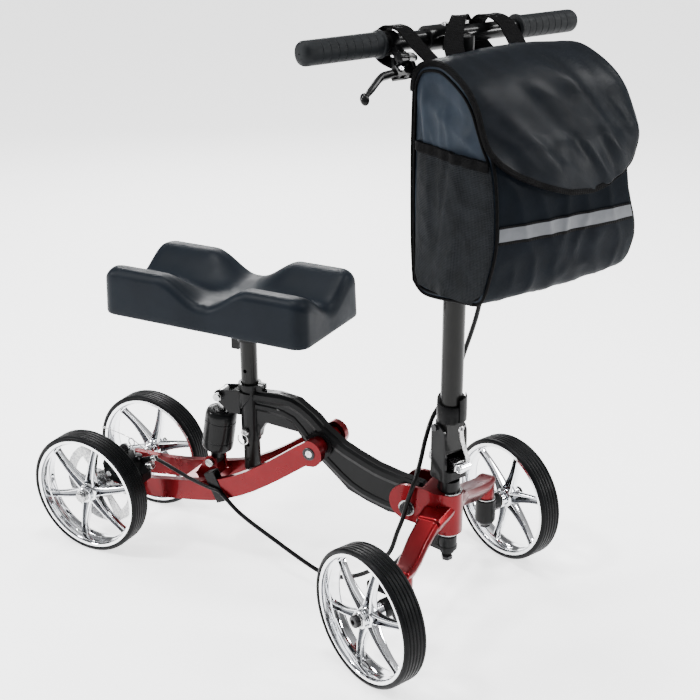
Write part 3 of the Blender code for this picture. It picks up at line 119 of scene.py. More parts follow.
def fill_ramp(ramp, stops):
    """Give a colour ramp its (place, colour) stops."""
    for i, (spot, colour) in enumerate(stops):
        element = ramp.elements[i] if i < 2 else ramp.elements.new(spot)
        element.position = spot
        element.color = (*colour, 1.0)


class Finish:
    """A node material under construction: each layer method adds procedural nodes."""

    SURFACE = ("Metallic", "Roughness", "Coat Weight", "Coat Roughness", "Specular IOR Level")

    def __init__(self, name, colour, *surface):
        self.mat = bpy.data.materials.new(name)
        self.mat.use_nodes = True
        self.tree = self.mat.node_tree
        self.shader = self.tree.nodes["Principled BSDF"]
        self.mat.diffuse_color = (*mm(colour)[0], 1.0)
        self.set("Base Color", self.mat.diffuse_color)
        for socket, value in zip(self.SURFACE, surface):
            self.set(socket, value)
        self.place = self.add("ShaderNodeTexCoord").outputs["Object"]

    def set(self, socket, value):
        self.shader.inputs[socket].default_value = value

    def add(self, kind, **values):
        node = self.tree.nodes.new(kind)
        for key, value in values.items():
            if key in node.inputs:
                node.inputs[key].default_value = value
            else:
                setattr(node, key, value)
        return node

    def join(self, source, target):
        self.tree.links.new(source, target)

    def cloud(self, size, detail=3.0, stretch=(1, 1, 1)):
        """Noise in the object's own coordinates; size is the feature size in metres."""
        mapping = self.add("ShaderNodeMapping", Scale=stretch)
        self.join(self.place, mapping.inputs["Vector"])
        node = self.add("ShaderNodeTexNoise", Scale=1.0 / size, Detail=detail)
        self.join(mapping.outputs["Vector"], node.inputs["Vector"])
        return node.outputs["Fac"]

    def tint(self, size, dark, light):
        """Colour that drifts between two tones."""
        node = self.add("ShaderNodeValToRGB")
        fill_ramp(node.color_ramp, zip((0.35, 0.65), mm(dark, light)))
        self.join(self.cloud(size), node.inputs["Fac"])
        self.join(node.outputs["Color"], self.shader.inputs["Base Color"])

    def scuff(self, size, low, high, detail=4.0, stretch=(1, 1, 1)):
        """Roughness that drifts between two values."""
        node = self.add("ShaderNodeMapRange", **{"From Min": 0.3, "From Max": 0.7, "To Min": low, "To Max": high})
        self.join(self.cloud(size, detail, stretch), node.inputs["Value"])
        self.join(node.outputs["Result"], self.shader.inputs["Roughness"])

    def relief(self, source, strength, depth):
        """Bump from a height signal; depth in metres."""
        node = self.add("ShaderNodeBump", Strength=strength, Distance=depth)
        self.join(source, node.inputs["Height"])
        self.join(node.outputs["Normal"], self.shader.inputs["Normal"])

    def grain(self, size, strength, depth=0.0001, detail=2.0):
        self.relief(self.cloud(size, detail), strength, depth)

    def weave(self, pitch, strength, depth):
        """Two crossed thread waves."""
        both = self.add("ShaderNodeMath", operation="MULTIPLY")
        for axis, target in zip("XZ", both.inputs):
            wave = self.add("ShaderNodeTexWave", Scale=0.314159 / pitch, bands_direction=axis)
            self.join(self.place, wave.inputs["Vector"])
            self.join(wave.outputs["Fac"], target)
        self.relief(both.outputs["Value"], strength, depth)


def make_materials():
    """By key: name, colour, (metal, roughness, coat, coat roughness, specular), tint, scuff, grain and weave."""
    table = {
        "red": ("candy_red_paint", (95, 1, 3), (0.85, 0.26, 0.2, 0.04, 0.2),
            (0.05, (84, 0.9, 2.7), (104, 1.2, 3.4)), (0.02, 0.26, 0.34), (0.0006, 0.08)),
        "black": ("black_gloss_paint", (4, 4.2, 4.4), (0, 0.28, 0.12, 0.05, 0.05),
            (0.04, (3.4, 3.5, 3.7), (5, 5.2, 5.4)), (0.015, 0.3, 0.4), (0.0008, 0.06)),
        "tube": ("grey_black_tube", (5, 5, 4.8), (0.2, 0.32, 0.1, 0.1, 0.1),
            (0.03, (4.4, 4.4, 4.2), (6, 6, 5.7)), (0.02, 0.32, 0.42, 4.0, (1, 1, 0.2)), (0.0007, 0.05)),
        "chrome": ("bright_chrome", (860, 870, 890), (1, 0.06),
            (), (0.012, 0.035, 0.085), (0.01, 0.05, 0.0003)),
        "lip": ("polished_lip", (880, 890, 900), (1, 0.16),
            (), (0.006, 0.12, 0.2), (0.004, 0.04)),
        # Chrome darkened to stand for shade: painted shade for the spoke channels, the rim's inner ring and the cam
        # pin.
        "shadow": ("shaded_chrome", (170, 175, 185), (1, 0.1),
            (), (0.01, 0.07, 0.14), (0.008, 0.05, 0.0003)),
        "zinc": ("zinc_plate", (400, 400, 400), (1, 0.24),
            (0.004, (300, 300, 310), (520, 520, 510)), (0.003, 0.18, 0.32), (0.0008, 0.1)),
        "oxide": ("black_oxide", (10, 10, 11), (0.5, 0.3, 0.2, 0.1, 0.2),
            (), (0.003, 0.22, 0.38), (0.001, 0.1)),
        "tyre": ("tyre_rubber", (2.4, 2.6, 3), (0, 0.32, 0, 0.25, 0.07),
            (0.02, (2.2, 2.4, 2.8), (3.6, 3.8, 4.3)), (0.008, 0.34, 0.48), (0.0012, 0.1, 0.0002)),
        "rubber": ("grip_rubber", (4.8, 5.8, 6.8), (0, 0.44, 0, 0.2, 0.1),
            (0.01, (4, 4.9, 5.8), (5.8, 6.9, 8)), (0.004, 0.5, 0.66), (0.0009, 0.25, 0.0002)),
        "cable": ("cable_jacket", (2, 2, 2.2), (0, 0.3, 0.05, 0.1, 0.1),
            (), (0.006, 0.28, 0.4), (0.001, 0.08)),
        "plastic": ("black_plastic", (2, 2.1, 2.3), (0, 0.4, 0, 0.1, 0.08),
            (), (0.004, 0.36, 0.5), (0.0008, 0.18)),
        "white": ("white_bush", (750, 750, 740), (0, 0.45),
            (), (0.003, 0.4, 0.52), (0.001, 0.08)),
        "pad": ("moulded_pad", (4, 6, 9), (0, 0.38, 0, 0.3, 0.07),
            (0.05, (3.7, 5.5, 8.2), (4.6, 6.8, 10)), (0.02, 0.42, 0.52), (0.0014, 0.16, 0.0002, 3.0)),
        "web": ("black_webbing", (1.2, 1.2, 1.3), (0, 0.6, 0, 0.3, 0.03),
            (0.006, (0.9, 0.9, 1), (1.8, 1.8, 2)), (), (), (0.0016, 0.9, 0.0005)),
        "mesh": ("mesh_cloth", (4.8, 5.8, 7), (0, 0.5, 0, 0.3, 0.05),
            (0.02, (3.6, 4.4, 5.3), (7, 8.2, 9.8)), (), (), (0.002, 1, 0.001)),
        "stripe": ("reflective_band", (30, 34, 41), (0.1, 0.34),
            (0.012, (25, 29, 35), (36, 40, 48)), (), (), (0.001, 0.25, 0.0002)),
    }
    # The side panels' nylon gets about four times the front's tone: painted sheen on the same dark fabric.
    for key, tone, shine in (("nylon", 4.2, 0.012), ("flap_nylon", 4.4, 0.05), ("side_nylon", 17, 0.05)):
        table[key] = ("bag_" + key, (tone * 0.72, tone, tone * 1.42), (0, 0.4, 0, 0.3, shine),
            (0.03, (tone * 0.6, tone * 0.84, tone * 1.2), (tone * 0.84, tone * 1.16, tone * 1.64)),
            (0.02, 0.34, 0.44), (), (0.0009, 0.35, 0.0002))
    mats = {}
    for key, (name, colour, surface, *layers) in table.items():
        finish = Finish(name, colour, *surface)
        for layer, values in zip((finish.tint, finish.scuff, finish.grain, finish.weave), layers):
            if values:
                layer(*values)
        mats[key] = finish.mat
    return mats


MATS = make_materials()
for slot, finishes in (
        ("red_paint", "red"), ("black_paint", "black tube"), ("chrome", "chrome lip shadow"), ("steel", "zinc oxide"),
        ("tyre", "tyre"), ("rubber", "rubber cable plastic white"), ("pad_cover", "pad"),
        ("bag_cloth", "nylon side_nylon flap_nylon web mesh stripe")):
    dict.fromkeys(finishes.split(), slot)


# Mesh helpers

def placed(name, data):
    """New object in the scene."""
    obj = bpy.data.objects.new(name, data)
    bpy.context.scene.collection.objects.link(obj)
    return obj


def mesh_object(name, verts, faces, mat):
    """Object with its faces turned outward and its finish noted on it."""
    mesh = bpy.data.meshes.new(name)
    mesh.from_pydata([tuple(v) for v in verts], [], faces)
    mesh.materials.append(MATS[mat])
    bm = bmesh.new()
    bm.from_mesh(mesh)
    bmesh.ops.recalc_face_normals(bm, faces=bm.faces)
    bm.to_mesh(mesh)
    bm.free()
    obj = placed(name, mesh)
    obj["finish"] = mat
    return obj


def modified(obj, kind, **values):
    """Replace the mesh by the result of one modifier."""
    modifier = obj.modifiers.new(kind, kind)
    for key, value in values.items():
        setattr(modifier, key, value)
    bpy.context.view_layer.update()
    graph = bpy.context.evaluated_depsgraph_get()
    mesh = bpy.data.meshes.new_from_object(obj.evaluated_get(graph))
    obj.modifiers.clear()
    obj.data = mesh
    return obj


def shade(obj, angle=35):
    obj.data.shade_smooth()
    obj.data.set_sharp_from_angle(angle=radians(angle))
    return obj


def bevelled(obj, width, segments=2, limit=32):
    """Round the hard edges and keep the flat faces flat."""
    modified(obj, "BEVEL", width=width, segments=segments, limit_method="ANGLE", angle_limit=radians(limit),
        harden_normals=False)
    shade(obj, 50)
    return modified(obj, "WEIGHTED_NORMAL", keep_sharp=True, weight=60)


def frame_to(axis, origin):
    turn = Vector((0, 0, 1)).rotation_difference(Vector(axis).normalized()).to_matrix().to_4x4()
    return Matrix.Translation(origin) @ turn


def revolve(name, profile, steps, mat, axis=(0, 1, 0), origin=(0, 0, 0), closed=False, angle=30):
    """Turn (radius, along) pairs about an axis; an open profile gets end caps."""
    place = frame_to(axis, origin)
    verts = []
    faces = []
    count = len(profile)
    for i in range(steps):
        turn = 2 * pi * i / steps
        j = (i + 1) % steps
        for radius, along in profile:
            verts.append(place @ Vector((radius * cos(turn), radius * sin(turn), along)))
        for k in range(count if closed else count - 1):
            m = (k + 1) % count
            faces.append((i * count + k, j * count + k, j * count + m, i * count + m))
    if not closed:
        faces += [tuple(i * count + k for i in range(steps)) for k in (0, count - 1)]
    return shade(mesh_object(name, verts, faces, mat), angle)


def loft(name, rings, mat, wrap=False):
    """Skin between closed rings of equal length; wrap joins the last to the first instead of capping them."""
    verts = [v for ring in rings for v in ring]
    count = len(rings[0])
    faces = []
    for r in range(len(rings) if wrap else len(rings) - 1):
        s = (r + 1) % len(rings)
        for k in range(count):
            m = (k + 1) % count
            faces.append((r * count + k, s * count + k, s * count + m, r * count + m))
    if not wrap:
        faces += [tuple(start + k for k in range(count)) for start in (0, (len(rings) - 1) * count)]
    return mesh_object(name, verts, faces, mat)


def evenly(dense, count):
    """Points at equal steps along a line of dense points, from its start to its end."""
    total = [0.0]
    for a, b in zip(dense, dense[1:]):
        total.append(total[-1] + (b - a).length)
    out = []
    k = 0
    for i in range(count):
        want = total[-1] * i / (count - 1)
        while k < len(total) - 2 and total[k + 1] < want:
            k += 1
        span = total[k + 1] - total[k]
        out.append(dense[k].lerp(dense[k + 1], (want - total[k]) / span if span else 0))
    return out


def smooth_path(points, count):
    """Evenly spaced points on a smooth curve through the given ones."""
    pts = [Vector(p) for p in points]
    dense = []
    for i in range(len(pts) - 1):
        p0, p1, p2, p3 = (pts[min(max(i + k, 0), len(pts) - 1)] for k in (-1, 0, 1, 2))
        for k in range(24):
            t = k / 24
            a = 2 * p1 + (p2 - p0) * t
            b = (2 * p0 - 5 * p1 + 4 * p2 - p3) * t ** 2
            c = (3 * p1 - p0 - 3 * p2 + p3) * t ** 3
            dense.append((a + b + c) / 2)
    return evenly(dense + [pts[-1]], count)


def headings(path, closed=False):
    """Direction of travel at each point of a path."""
    if closed:
        pairs = zip(path[-1:] + path[:-1], path[1:] + path[:1])
    else:
        pairs = zip(path[:1] + path[:-1], path[1:] + path[-1:])
    return [(after - before).normalized() for before, after in pairs]


def sweep(name, points, radius, mat, sides=12, closed=False):
    """Round tube along points."""
    pts = [Vector(p) for p in points]
    heads = headings(pts, closed)
    side = heads[0].orthogonal().normalized()
    turns = [2 * pi * k / sides for k in range(sides)]
    rings = []
    for head, point in zip(heads, pts):
        side = (side - head * side.dot(head)).normalized()
        up = head.cross(side)
        rings.append([point + radius * (cos(turn) * side + sin(turn) * up) for turn in turns])
    return shade(loft(name, rings, mat, closed), 60)


def ribbon(name, path, ups, width, thick, mat):
    """Flat strap along a path; ups give the direction across the strap's width."""
    rings = []
    for i, (head, point) in enumerate(zip(headings(path), path)):
        wide = Vector(ups[i] if isinstance(ups, list) else ups).normalized()
        wide = (wide - head * wide.dot(head)).normalized()
        out = head.cross(wide)
        size = width[i] if isinstance(width, list) else width
        rings.append([point + wide * (u * size / 2) + out * (v * thick / 2) for v in (-1, 1)
            for u in (v, 0.6 * v, 0, -0.6 * v, -v)])
    return bevelled(loft(name, rings, mat), 0.0003, 1, 50)


def hexagon(name, radius, start, end, mat, axis, origin, dome=0.001):
    """Hex head or nut with a chamfered crown."""
    profile = [(radius, start), (radius, end - dome), (radius * 0.86, end)]
    return bevelled(revolve(name, profile, 6, mat, axis, origin), 0.0004, 2, 25)


def joined(name, *objs):
    """Merge finished meshes into one object and keep their materials."""
    base = objs[0]
    with bpy.context.temp_override(active_object=base, object=base, selected_objects=list(objs),
            selected_editable_objects=list(objs)):
        bpy.ops.object.join()
    base.name = name
    return base


def settle(obj, body, *nodes, place=None):
    """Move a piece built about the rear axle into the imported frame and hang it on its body."""
    if place is not None:
        obj.data.transform(place)
    obj.data.transform(SHIFT)
    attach(obj, body)
    if nodes:
        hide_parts(*nodes)


def turned(name, profile, steps, mat, body, *nodes, place=None, **how):
    """Revolve a piece and settle it."""
    settle(revolve(name, profile, steps, mat, **how), body, *nodes, place=place)


def dress(node, mat, width=0.0008, segments=2, limit=32):
    """A rounded, smooth-shaded stand-in of a CAD node with its own material."""
    bm = bmesh.new()
    bm.from_mesh(NODES[node].data)
    bmesh.ops.remove_doubles(bm, verts=bm.verts, dist=0.00001)
    bmesh.ops.dissolve_limit(bm, angle_limit=radians(1.0), verts=bm.verts, edges=bm.edges)
    mesh = bpy.data.meshes.new("dressed_" + node)
    bm.to_mesh(mesh)
    bm.free()
    mesh.materials.append(MATS[mat])
    obj = placed("dressed_" + node, mesh)
    if width:
        bevelled(obj, width, segments, limit)
    else:
        shade(obj, limit)
    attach(obj, BODY_OF[node])
    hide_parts(node)
    return obj


# Wheels and tyres, built about their own centre with Y as the axis

def knuckle_place(sign):
    return moved(STEER_X, sign * TRACK, 0) @ Matrix.Rotation(STEER_ANGLE, 4, "Z")


WHEELS = {"rear_" + side: (moved(0, sign * REAR_Y, WHEEL_R), sign) for side, sign in SIDES}
for wheel_side, outboard in SIDES:
    WHEELS["front_" + wheel_side] = (knuckle_place(outboard) @ moved(-TRAIL, outboard * OFFSET, WHEEL_R), outboard)


def mirrored(profile):
    return [(radius, -along) for radius, along in reversed(profile)]


def tyre_profile():
    """Closed section: grooved tread, rounded shoulders, bead inside the rim lip."""
    w = TYRE_HALF
    round_off = 0.0052
    turns = [radians(a) for a in range(0, 95, 15)]
    right = [(WHEEL_R - round_off * (1 - cos(a)), w - round_off * (1 - sin(a))) for a in turns]
    right += [(RIM_LIP_R + 0.0018, w), (RIM_LIP_R + 0.0008, w - 0.0006), (RIM_LIP_R + 0.0004, w - 0.0022),
        (0.0905, RIM_HALF - 0.0034)]
    groove = mm((-1.6, 0), (-1, 0.5), (-0.4, 1.3), (0.4, 1.3), (1, 0.5), (1.6, 0))
    tread = [(WHEEL_R - deep, 0.0058 * i + step) for i in range(-2, 3) for step, deep in groove]
    return tread + right + mirrored(right)


def wheel_rim():
    h = RIM_HALF
    lip = RIM_LIP_R - 0.0001
    side = [(0.0902, h - 0.003), (lip, h - 0.0018), (lip, h - 0.0002), (lip - 0.0003, h + 0.0001)]
    side += mm((89.7, 0.1), (89.2, -0.4), (88.8, -2.2), (88, -3.2), (87.6, -4), up=h)
    side += mm((87.1, 6), (86.6, 4.6), (85.2, 3.6), (84.8, 1.4))
    rim = revolve("rim", side + mirrored(side), 96, "chrome", closed=True, angle=24)
    rim.data.materials.append(MATS["lip"])
    rim.data.materials.append(MATS["shadow"])
    # Flat lip faces get the polished lip; inner ring faces near the sides get the darkened chrome as painted shade.
    for face in rim.data.polygons:
        radius = hypot(face.center.x, face.center.z)
        if radius > 0.0893 and abs(face.normal.y) > 0.9 and abs(face.center.y) > h - 0.0003:
            face.material_index = 1
        elif 0.0878 < radius < 0.0891 and abs(face.center.y) > h - 0.0036:
            face.material_index = 2
    return rim


def spoke(turn, outboard):
    """Channelled spoke that bows outboard between hub and barrel."""
    along = Vector((cos(turn), 0, sin(turn)))
    side = Vector((-sin(turn), 0, cos(turn)))
    out = Vector((0, outboard, 0))
    half = [(1, 0.55), (0.95, 0.86), (0.8, 1), (0.62, 0.94), (0.46, 0.5), (0.3, 0.2)]
    top = half + [(-u, v) for u, v in reversed(half)]
    ring = top + [(-u, -v) for u, v in top]
    stations = mm((13, 9.6, 7.8, 1), (18, 9.2, 7.4, 1.8), (26, 8, 6.6, 3), (38, 6.8, 5.8, 4), (52, 6, 5.1, 4),
        (66, 5.4, 4.6, 2.9), (78, 5.4, 4.3, 1.2), (83.2, 6, 4.3, 0.4), (86.2, 7.4, 4.5, 0))
    bar = loft("spoke", [[along * dist + side * (u * wide) + out * (v * deep + bow) for u, v in ring]
        for dist, wide, deep, bow in stations], "chrome")
    bar.data.materials.append(MATS["shadow"])
    # Channel faces between the ribs get the darkened chrome as painted shade.
    for face in bar.data.polygons:
        if len(face.vertices) == 4:
            slots = {v % len(ring) for v in face.vertices}
            if slots <= set(range(3, 9)) or slots <= set(range(15, 21)):
                face.material_index = 1
    return shade(bar, 50)


def wheel_hub(outboard):
    """Ribbed barrel through the wheel."""
    profile = mm((7.5, -19.8), (11.2, -19.8), (12, -19))
    for i in range(3):
        profile += mm((13, 0), (13, 2), (11.8, 2.4), (11.8, 3), up=0.0034 * i - 0.0185)
    profile += mm((15, -7.4), (16.2, -6), (16.2, 6.8), (14.8, 8.4))
    for i in range(3):
        profile += mm((13.2, 0), (13.2, 2), (12, 2.4), (12, 3), up=0.0034 * i + 0.0092)
    profile += mm((12.4, 19.2), (11.6, 19.9), (7.5, 19.9))
    return revolve("hub", profile, 48, "chrome", (0, outboard, 0))


def make_wheels():
    for side, (place, outboard) in WHEELS.items():
        body = BODY_OF["tyre_" + side]
        turned("tyre_ring_" + side, tyre_profile(), 120, "tyre", body, "tyre_" + side, place=place, closed=True,
            angle=32)
        spokes = [spoke(2 * pi * (i + 0.28) / 6, outboard) for i in range(6)]
        wheel = joined("spoked_wheel_" + side, wheel_rim(), wheel_hub(outboard), *spokes)
        settle(wheel, body, "wheel_" + side, place=place)
    for side in ("front_right", "front_left"):
        axle_end(side, *WHEELS[side])


def axle_end(side, place, sign):
    """Washer and black cap screw outside a hub."""
    node = "axle_cap_" + side
    washer = mm((6, 0), (10.3, 0), (10.7, 0.4), (10.7, 1.2), (10.3, 1.6), (6, 1.6), up=HUB_HALF + 0.0003)
    turned("axle_end_" + side + "_washer", washer, 40, "zinc", BODY_OF[node], place=place, axis=(0, sign, 0))
    cap = mm((8.6, 1.6), (9.1, 2.2), (9.1, 6.6), (8.4, 8), (6.2, 8.7), (4, 8.7), (3.8, 6), (0, 5.8),
        up=HUB_HALF + 0.0003)
    turned("axle_end_" + side, cap, 40, "oxide", BODY_OF[node], node, place=place, axis=(0, sign, 0))


make_wheels()


# Carry bag, in the steered frame: forward, across, up

BAG_OUTLINE = mm((34.5, 564), (30, 619), (27.6, 720.2), (28.7, 793.5), (30.5, 816), (44.1, 833.5), (74.1, 838.5),
    (98.7, 830), (123.1, 815), (139.1, 797.5), (150.1, 776.5), (160, 758), (170.4, 740.8), (178.5, 703),
    (181.5, 656.2), (179.7, 631.5), (173.2, 605), (164.4, 577.6), (152.9, 564.1), (121, 558.8), (57.9, 551))
BAG_FAR = mm((556, 153), (581, 159), (606, 158), (622, 152), (651, 138.5), (677, 130), (700, 127), (760, 132),
    (800, 140), (840, 142))


def ease(value):
    """Smooth rise from 0 to 1."""
    t = min(max(value, 0.0), 1.0)
    return t * t * (3 - 2 * t)


def folds(a, b, seed):
    """Soft creases: a broad swell with narrower ridges on it."""
    broad = noise.noise(Vector((a * 11, b * 11, seed)))
    narrow = 1 - abs(noise.noise(Vector((a * 26 + b * 9, b * 13 - a * 7, seed + 5))))
    return 0.0022 * broad + 0.0022 * (narrow ** 3 - 0.5)


def corner_drop(left, radius):
    """How far a rounded corner falls back at a given distance from its end."""
    reach = min(max(radius - left, 0.0), radius)
    return radius - sqrt(radius * radius - reach * reach)


def creased(total, a, b, lines):
    """Add creases along (start, end, width, height) lines that fade at their ends."""
    for a0, b0, a1, b1, width, height in lines:
        start = Vector((a0, b0))
        run = Vector((a1, b1)) - start
        here = Vector((a, b)) - start
        along = here.dot(run) / run.length_squared
        slope = (here.x * run.y - here.y * run.x) / run.length / width
        fade = ease(along * 3 + 0.4) * ease((1 - along) * 3 + 0.4)
        total += height * fade * exp(-slope * slope) * (1 + 0.5 * tanh(slope * 2))
    return total


class BagSkin:
    """The bag's outline swept across, with its bulge and creases."""

    def __init__(self, count):
        loop = smooth_path([(f, 0, z) for f, z in BAG_OUTLINE + BAG_OUTLINE[:1]], count + 1)
        self.points = loop[:-1]
        self.count = count
        self.normals = []
        for i in range(count):
            ahead = self.points[(i + 1) % count] - self.points[i - 1]
            self.normals.append(Vector((-ahead.z, 0, ahead.x)).normalized())
        self.crown = max(range(count), key=lambda i: self.points[i].z)

    def at(self, spot):
        low = floor(spot)
        part = spot - low
        one, two = low % self.count, (low + 1) % self.count
        point = self.points[one].lerp(self.points[two], part)
        return point, self.normals[one].lerp(self.normals[two], part).normalized()

    def place(self, share, spot, lift=0.0, crease=1.0):
        """Point of the skin; share runs from the near side seam (0) to the far one (1)."""
        point, normal = self.at(spot)
        far = between(point.z, BAG_FAR)
        across = BAG_RIGHT + (far - BAG_RIGHT) * share
        middle = max(0.0, sin(pi * min(max(share, 0.0), 1.0))) ** 0.7
        front = ease((point.x - 0.05) / 0.06)
        push = (0.0045 * front + folds(across, point.z + point.x, 1.0) * crease * (0.3 + front)) * middle
        round_off = 0.003 + 0.003 * front + 0.014 * ease((point.z - 0.8) / 0.03)
        push -= corner_drop(far - across, round_off)
        return point + Vector((0, across, 0)) + normal * (push + lift)

    def spot_at(self, height):
        """Place on the front of the outline at a given height."""
        i = self.crown
        while self.points[(i + 1) % self.count].z > height:
            i += 1
        one, two = self.points[i % self.count].z, self.points[(i + 1) % self.count].z
        return i + (one - height) / (one - two)


def grid(name, rows, mat, thick):
    """Sheet of the given thickness through rows of points."""
    wide = len(rows[0])
    corners = [r * wide + k for r in range(len(rows) - 1) for k in range(wide - 1)]
    faces = [(k, k + 1, k + wide + 1, k + wide) for k in corners]
    obj = mesh_object(name, [p for row in rows for p in row], faces, mat)
    return shade(modified(obj, "SOLIDIFY", thickness=thick, offset=0.0), 60)


def between(value, table):
    """Straight-line value from sorted (key, value) pairs."""
    if value <= table[0][0]:
        return table[0][1]
    for (a, one), (b, two) in zip(table, table[1:]):
        if value <= b:
            return one + (two - one) * (value - a) / (b - a)
    return table[-1][1]


def bag_body(skin):
    steps = 76
    middle = []
    for i in range(steps + 1):
        share = 0.5 - 0.5 * cos(pi * i / steps)
        end = min(share, 1 - share) * (BAG_LEFT - BAG_RIGHT)
        tuck = -0.0006 * exp(-end / 0.004)
        middle.append([skin.place(share, k, tuck) for k in range(skin.count)])
    creases = mm((55, 800, 150, 752, 8, 3.5), (75, 812, 135, 775, 8, -3), (50, 815, 60, 740, 8, 3))

    def panel(ring, sign, level):
        centre = sum(ring, Vector()) / len(ring)
        out = []
        for point in ring:
            spot = centre + (point - centre) * level
            puff = 0.0045 * (1 - level ** 4)
            crease = creased(folds(spot.x * 1.4, spot.z * 0.8, 7 + sign) * 1.2, spot.x, spot.z, creases)
            out.append(spot + Vector((0, sign * (puff + crease * (1 - level ** 6)), 0)))
        return out

    levels = [0.03, 0.1, 0.17, 0.24, 0.31, 0.38, 0.45, 0.52, 0.58, 0.64, 0.7, 0.76, 0.81, 0.86, 0.9, 0.94, 0.97,
        0.985]
    near = [panel(middle[0], -1, level) for level in levels]
    far = [panel(middle[-1], 1, level) for level in reversed(levels)]
    body = loft("bag_body", near + middle + far, "nylon")
    # Side panel faces take the lighter nylon, whose tone is painted sheen.
    body.data.materials.append(MATS["side_nylon"])
    side = len(levels) * skin.count
    for face in body.data.polygons:
        if min(face.vertices) < side or max(face.vertices) >= len(body.data.vertices) - side:
            face.material_index = 1
    return shade(body, 60)


def flap_edges(skin):
    """Near and far edge of the flap as (place on the outline, across) tables."""
    near = mm((795, -105), (780, -106), (769.4, -106.5), (758.3, -106.2), (748.3, -104), (736.1, -93.9),
        (721.4, -70.5), (707.6, -40), (696.4, -7.2), (690.6, 20.4), (688.4, 48.4))
    far = mm((795, 156.5), (780, 157.5), (768.2, 157), (754.6, 154.5), (737.3, 145.5), (717.2, 130.4), (703.3, 109.2),
        (693, 80.4), (689, 64), (688.4, 49))
    start = skin.crown - 0.085 * skin.count
    tables = []
    for edge, top in ((near, (-0.101, -0.103)), (far, (0.14, 0.144))):
        path = smooth_path([(skin.spot_at(z) * 0.001, across, 0) for z, across in edge], 60)
        tables.append([(start, top[0]), (skin.crown, top[1])] + [(p.x * 1000, p.y) for p in path])
    return start, tables


def bag_flap(skin):
    start, (near, far) = flap_edges(skin)
    end = near[-1][0]
    creases = mm((45, 812, 120, 715, 13, 5), (-70, 790, 0, 710, 18, 4.5), (-30, 815, 50, 730, 12, -4),
        (0, 838, 60, 800, 9, 3), (90, 810, 140, 760, 10, -3))

    def over(across, spot):
        hem = ease((spot - skin.crown) / (end - skin.crown))
        point, normal = skin.at(spot)
        arch = sin(pi * min(max((across + 0.105) / 0.255, 0.0), 1.0))
        rays = 0.0013 * hem * sin(across * 190 + point.z * 90) * ease((across - 0.03) / 0.06)
        swell = folds(across * 1.2 + point.z * 0.9, point.z * 0.7, 13) * 1.7
        crease = creased(swell, across, point.z, creases)
        lift = 0.003 + 0.0085 * arch ** 0.7 + (rays + crease * (0.35 + 0.65 * hem)) * arch ** 0.4
        lift -= corner_drop(between(spot, far) - across, 0.0035 + 0.0125 * (1 - hem))
        return point + Vector((0, across, 0)) + normal * lift

    rows = []
    for i in range(65):
        spot = start + (end - start) * (1 - (1 - i / 64) ** 1.5)
        left, right = between(spot, near), between(spot, far)
        rows.append([over(left + (right - left) * (0.5 - 0.5 * cos(pi * k / 60)), spot) for k in range(61)])
    flap = grid("bag_flap", rows, "flap_nylon", 0.0014)
    down = [start + (end - start) * i / 70 for i in range(71)]
    spots = down + down[-2::-1]
    rim = [over(between(spot, near if i < 71 else far), spot) for i, spot in enumerate(spots)]
    path = smooth_path(rim, 150)
    ups = [head.cross(skin.at(spots[round(i * (len(spots) - 1) / 149)])[1]) for i, head in enumerate(headings(path))]
    return (flap, ribbon("bag_flap_binding", path, ups, 0.0066, 0.0046, "web"),
        sweep("bag_flap_cord", path, 0.0026, "web", 10))


def bag_pocket(skin):
    """Mesh pocket on the near side with a gathered elastic hem."""
    hem = 0.745
    creases = mm((500, 735, 620, 600, 160, 3), (300, 735, 240, 660, 80, -2.2))
    rows = []
    for i in range(49):
        up = i / 48
        z = 0.5625 + (hem - 0.5625) * up
        front = skin.at(skin.spot_at(max(z, 0.57)))[0].x - 0.0015 - 0.012 * (1 - ease(up * 9))
        back = 0.04 + 0.006 * (1 - ease(up * 12))
        row = []
        for k in range(45):
            side = k / 44
            arch = sin(pi * side) ** 0.6
            swell = 0.0095 * arch * (0.35 + 0.65 * sin(pi * min(up * 0.85 + 0.1, 1.0)))
            gather = 0.0016 * sin(side * 34) * exp(-(1 - up) * 7) * arch
            crease = creased(folds(side * 0.13, z, 21) * 1.4, side, z, creases) * arch
            dip = 0.004 * side * up
            row.append(Vector((back + (front - back) * side, BAG_RIGHT - 0.003 - swell - gather - crease, z - dip)))
        rows.append(row)
    pocket = grid("bag_side_pocket", rows, "mesh", 0.0009)
    top = [p + Vector((0, -0.0003, -0.005)) for p in rows[-1]]
    band = ribbon("bag_pocket_hem", smooth_path(top, 60), Vector((0, 0, 1)), 0.0118, 0.0056, "web")
    return pocket, band


def bag_trim(skin):
    """Piping on the side seams, a seam inside the near one and the pale band across the front."""
    pieces = []
    band, fall = 0.6568, 0.0093
    for name, share, lift in (("right", 0.0, 0.0006), ("left", 1.0, 0.0004)):
        path = [skin.place(share, k, lift, 0.2) for k in range(skin.count)]
        pieces.append(sweep("bag_piping_" + name, path, 0.0021, "web", 10, True))
    inner = [point - normal * 0.0058 + Vector((0, BAG_RIGHT - 0.0018, 0))
        for point, normal in (skin.at(k) for k in range(skin.count))]
    pieces.append(sweep("bag_inner_piping", inner, 0.0018, "web", 8, True))
    shares = [0.012 + 0.955 * k / 90 for k in range(91)]
    for name, high, low, mat, lift in (("band", 0.0085, -0.0085, "stripe", 0.001),
            ("band_top_edge", 0.0105, 0.008, "web", 0.0014), ("band_low_edge", -0.008, -0.0115, "web", 0.0014)):
        rows = [[skin.place(share, skin.spot_at(band - fall * share + high + (low - high) * i / 4), lift)
            for share in shares] for i in range(5)]
        pieces.append(grid("bag_" + name, rows, mat, 0.0008))
    return pieces


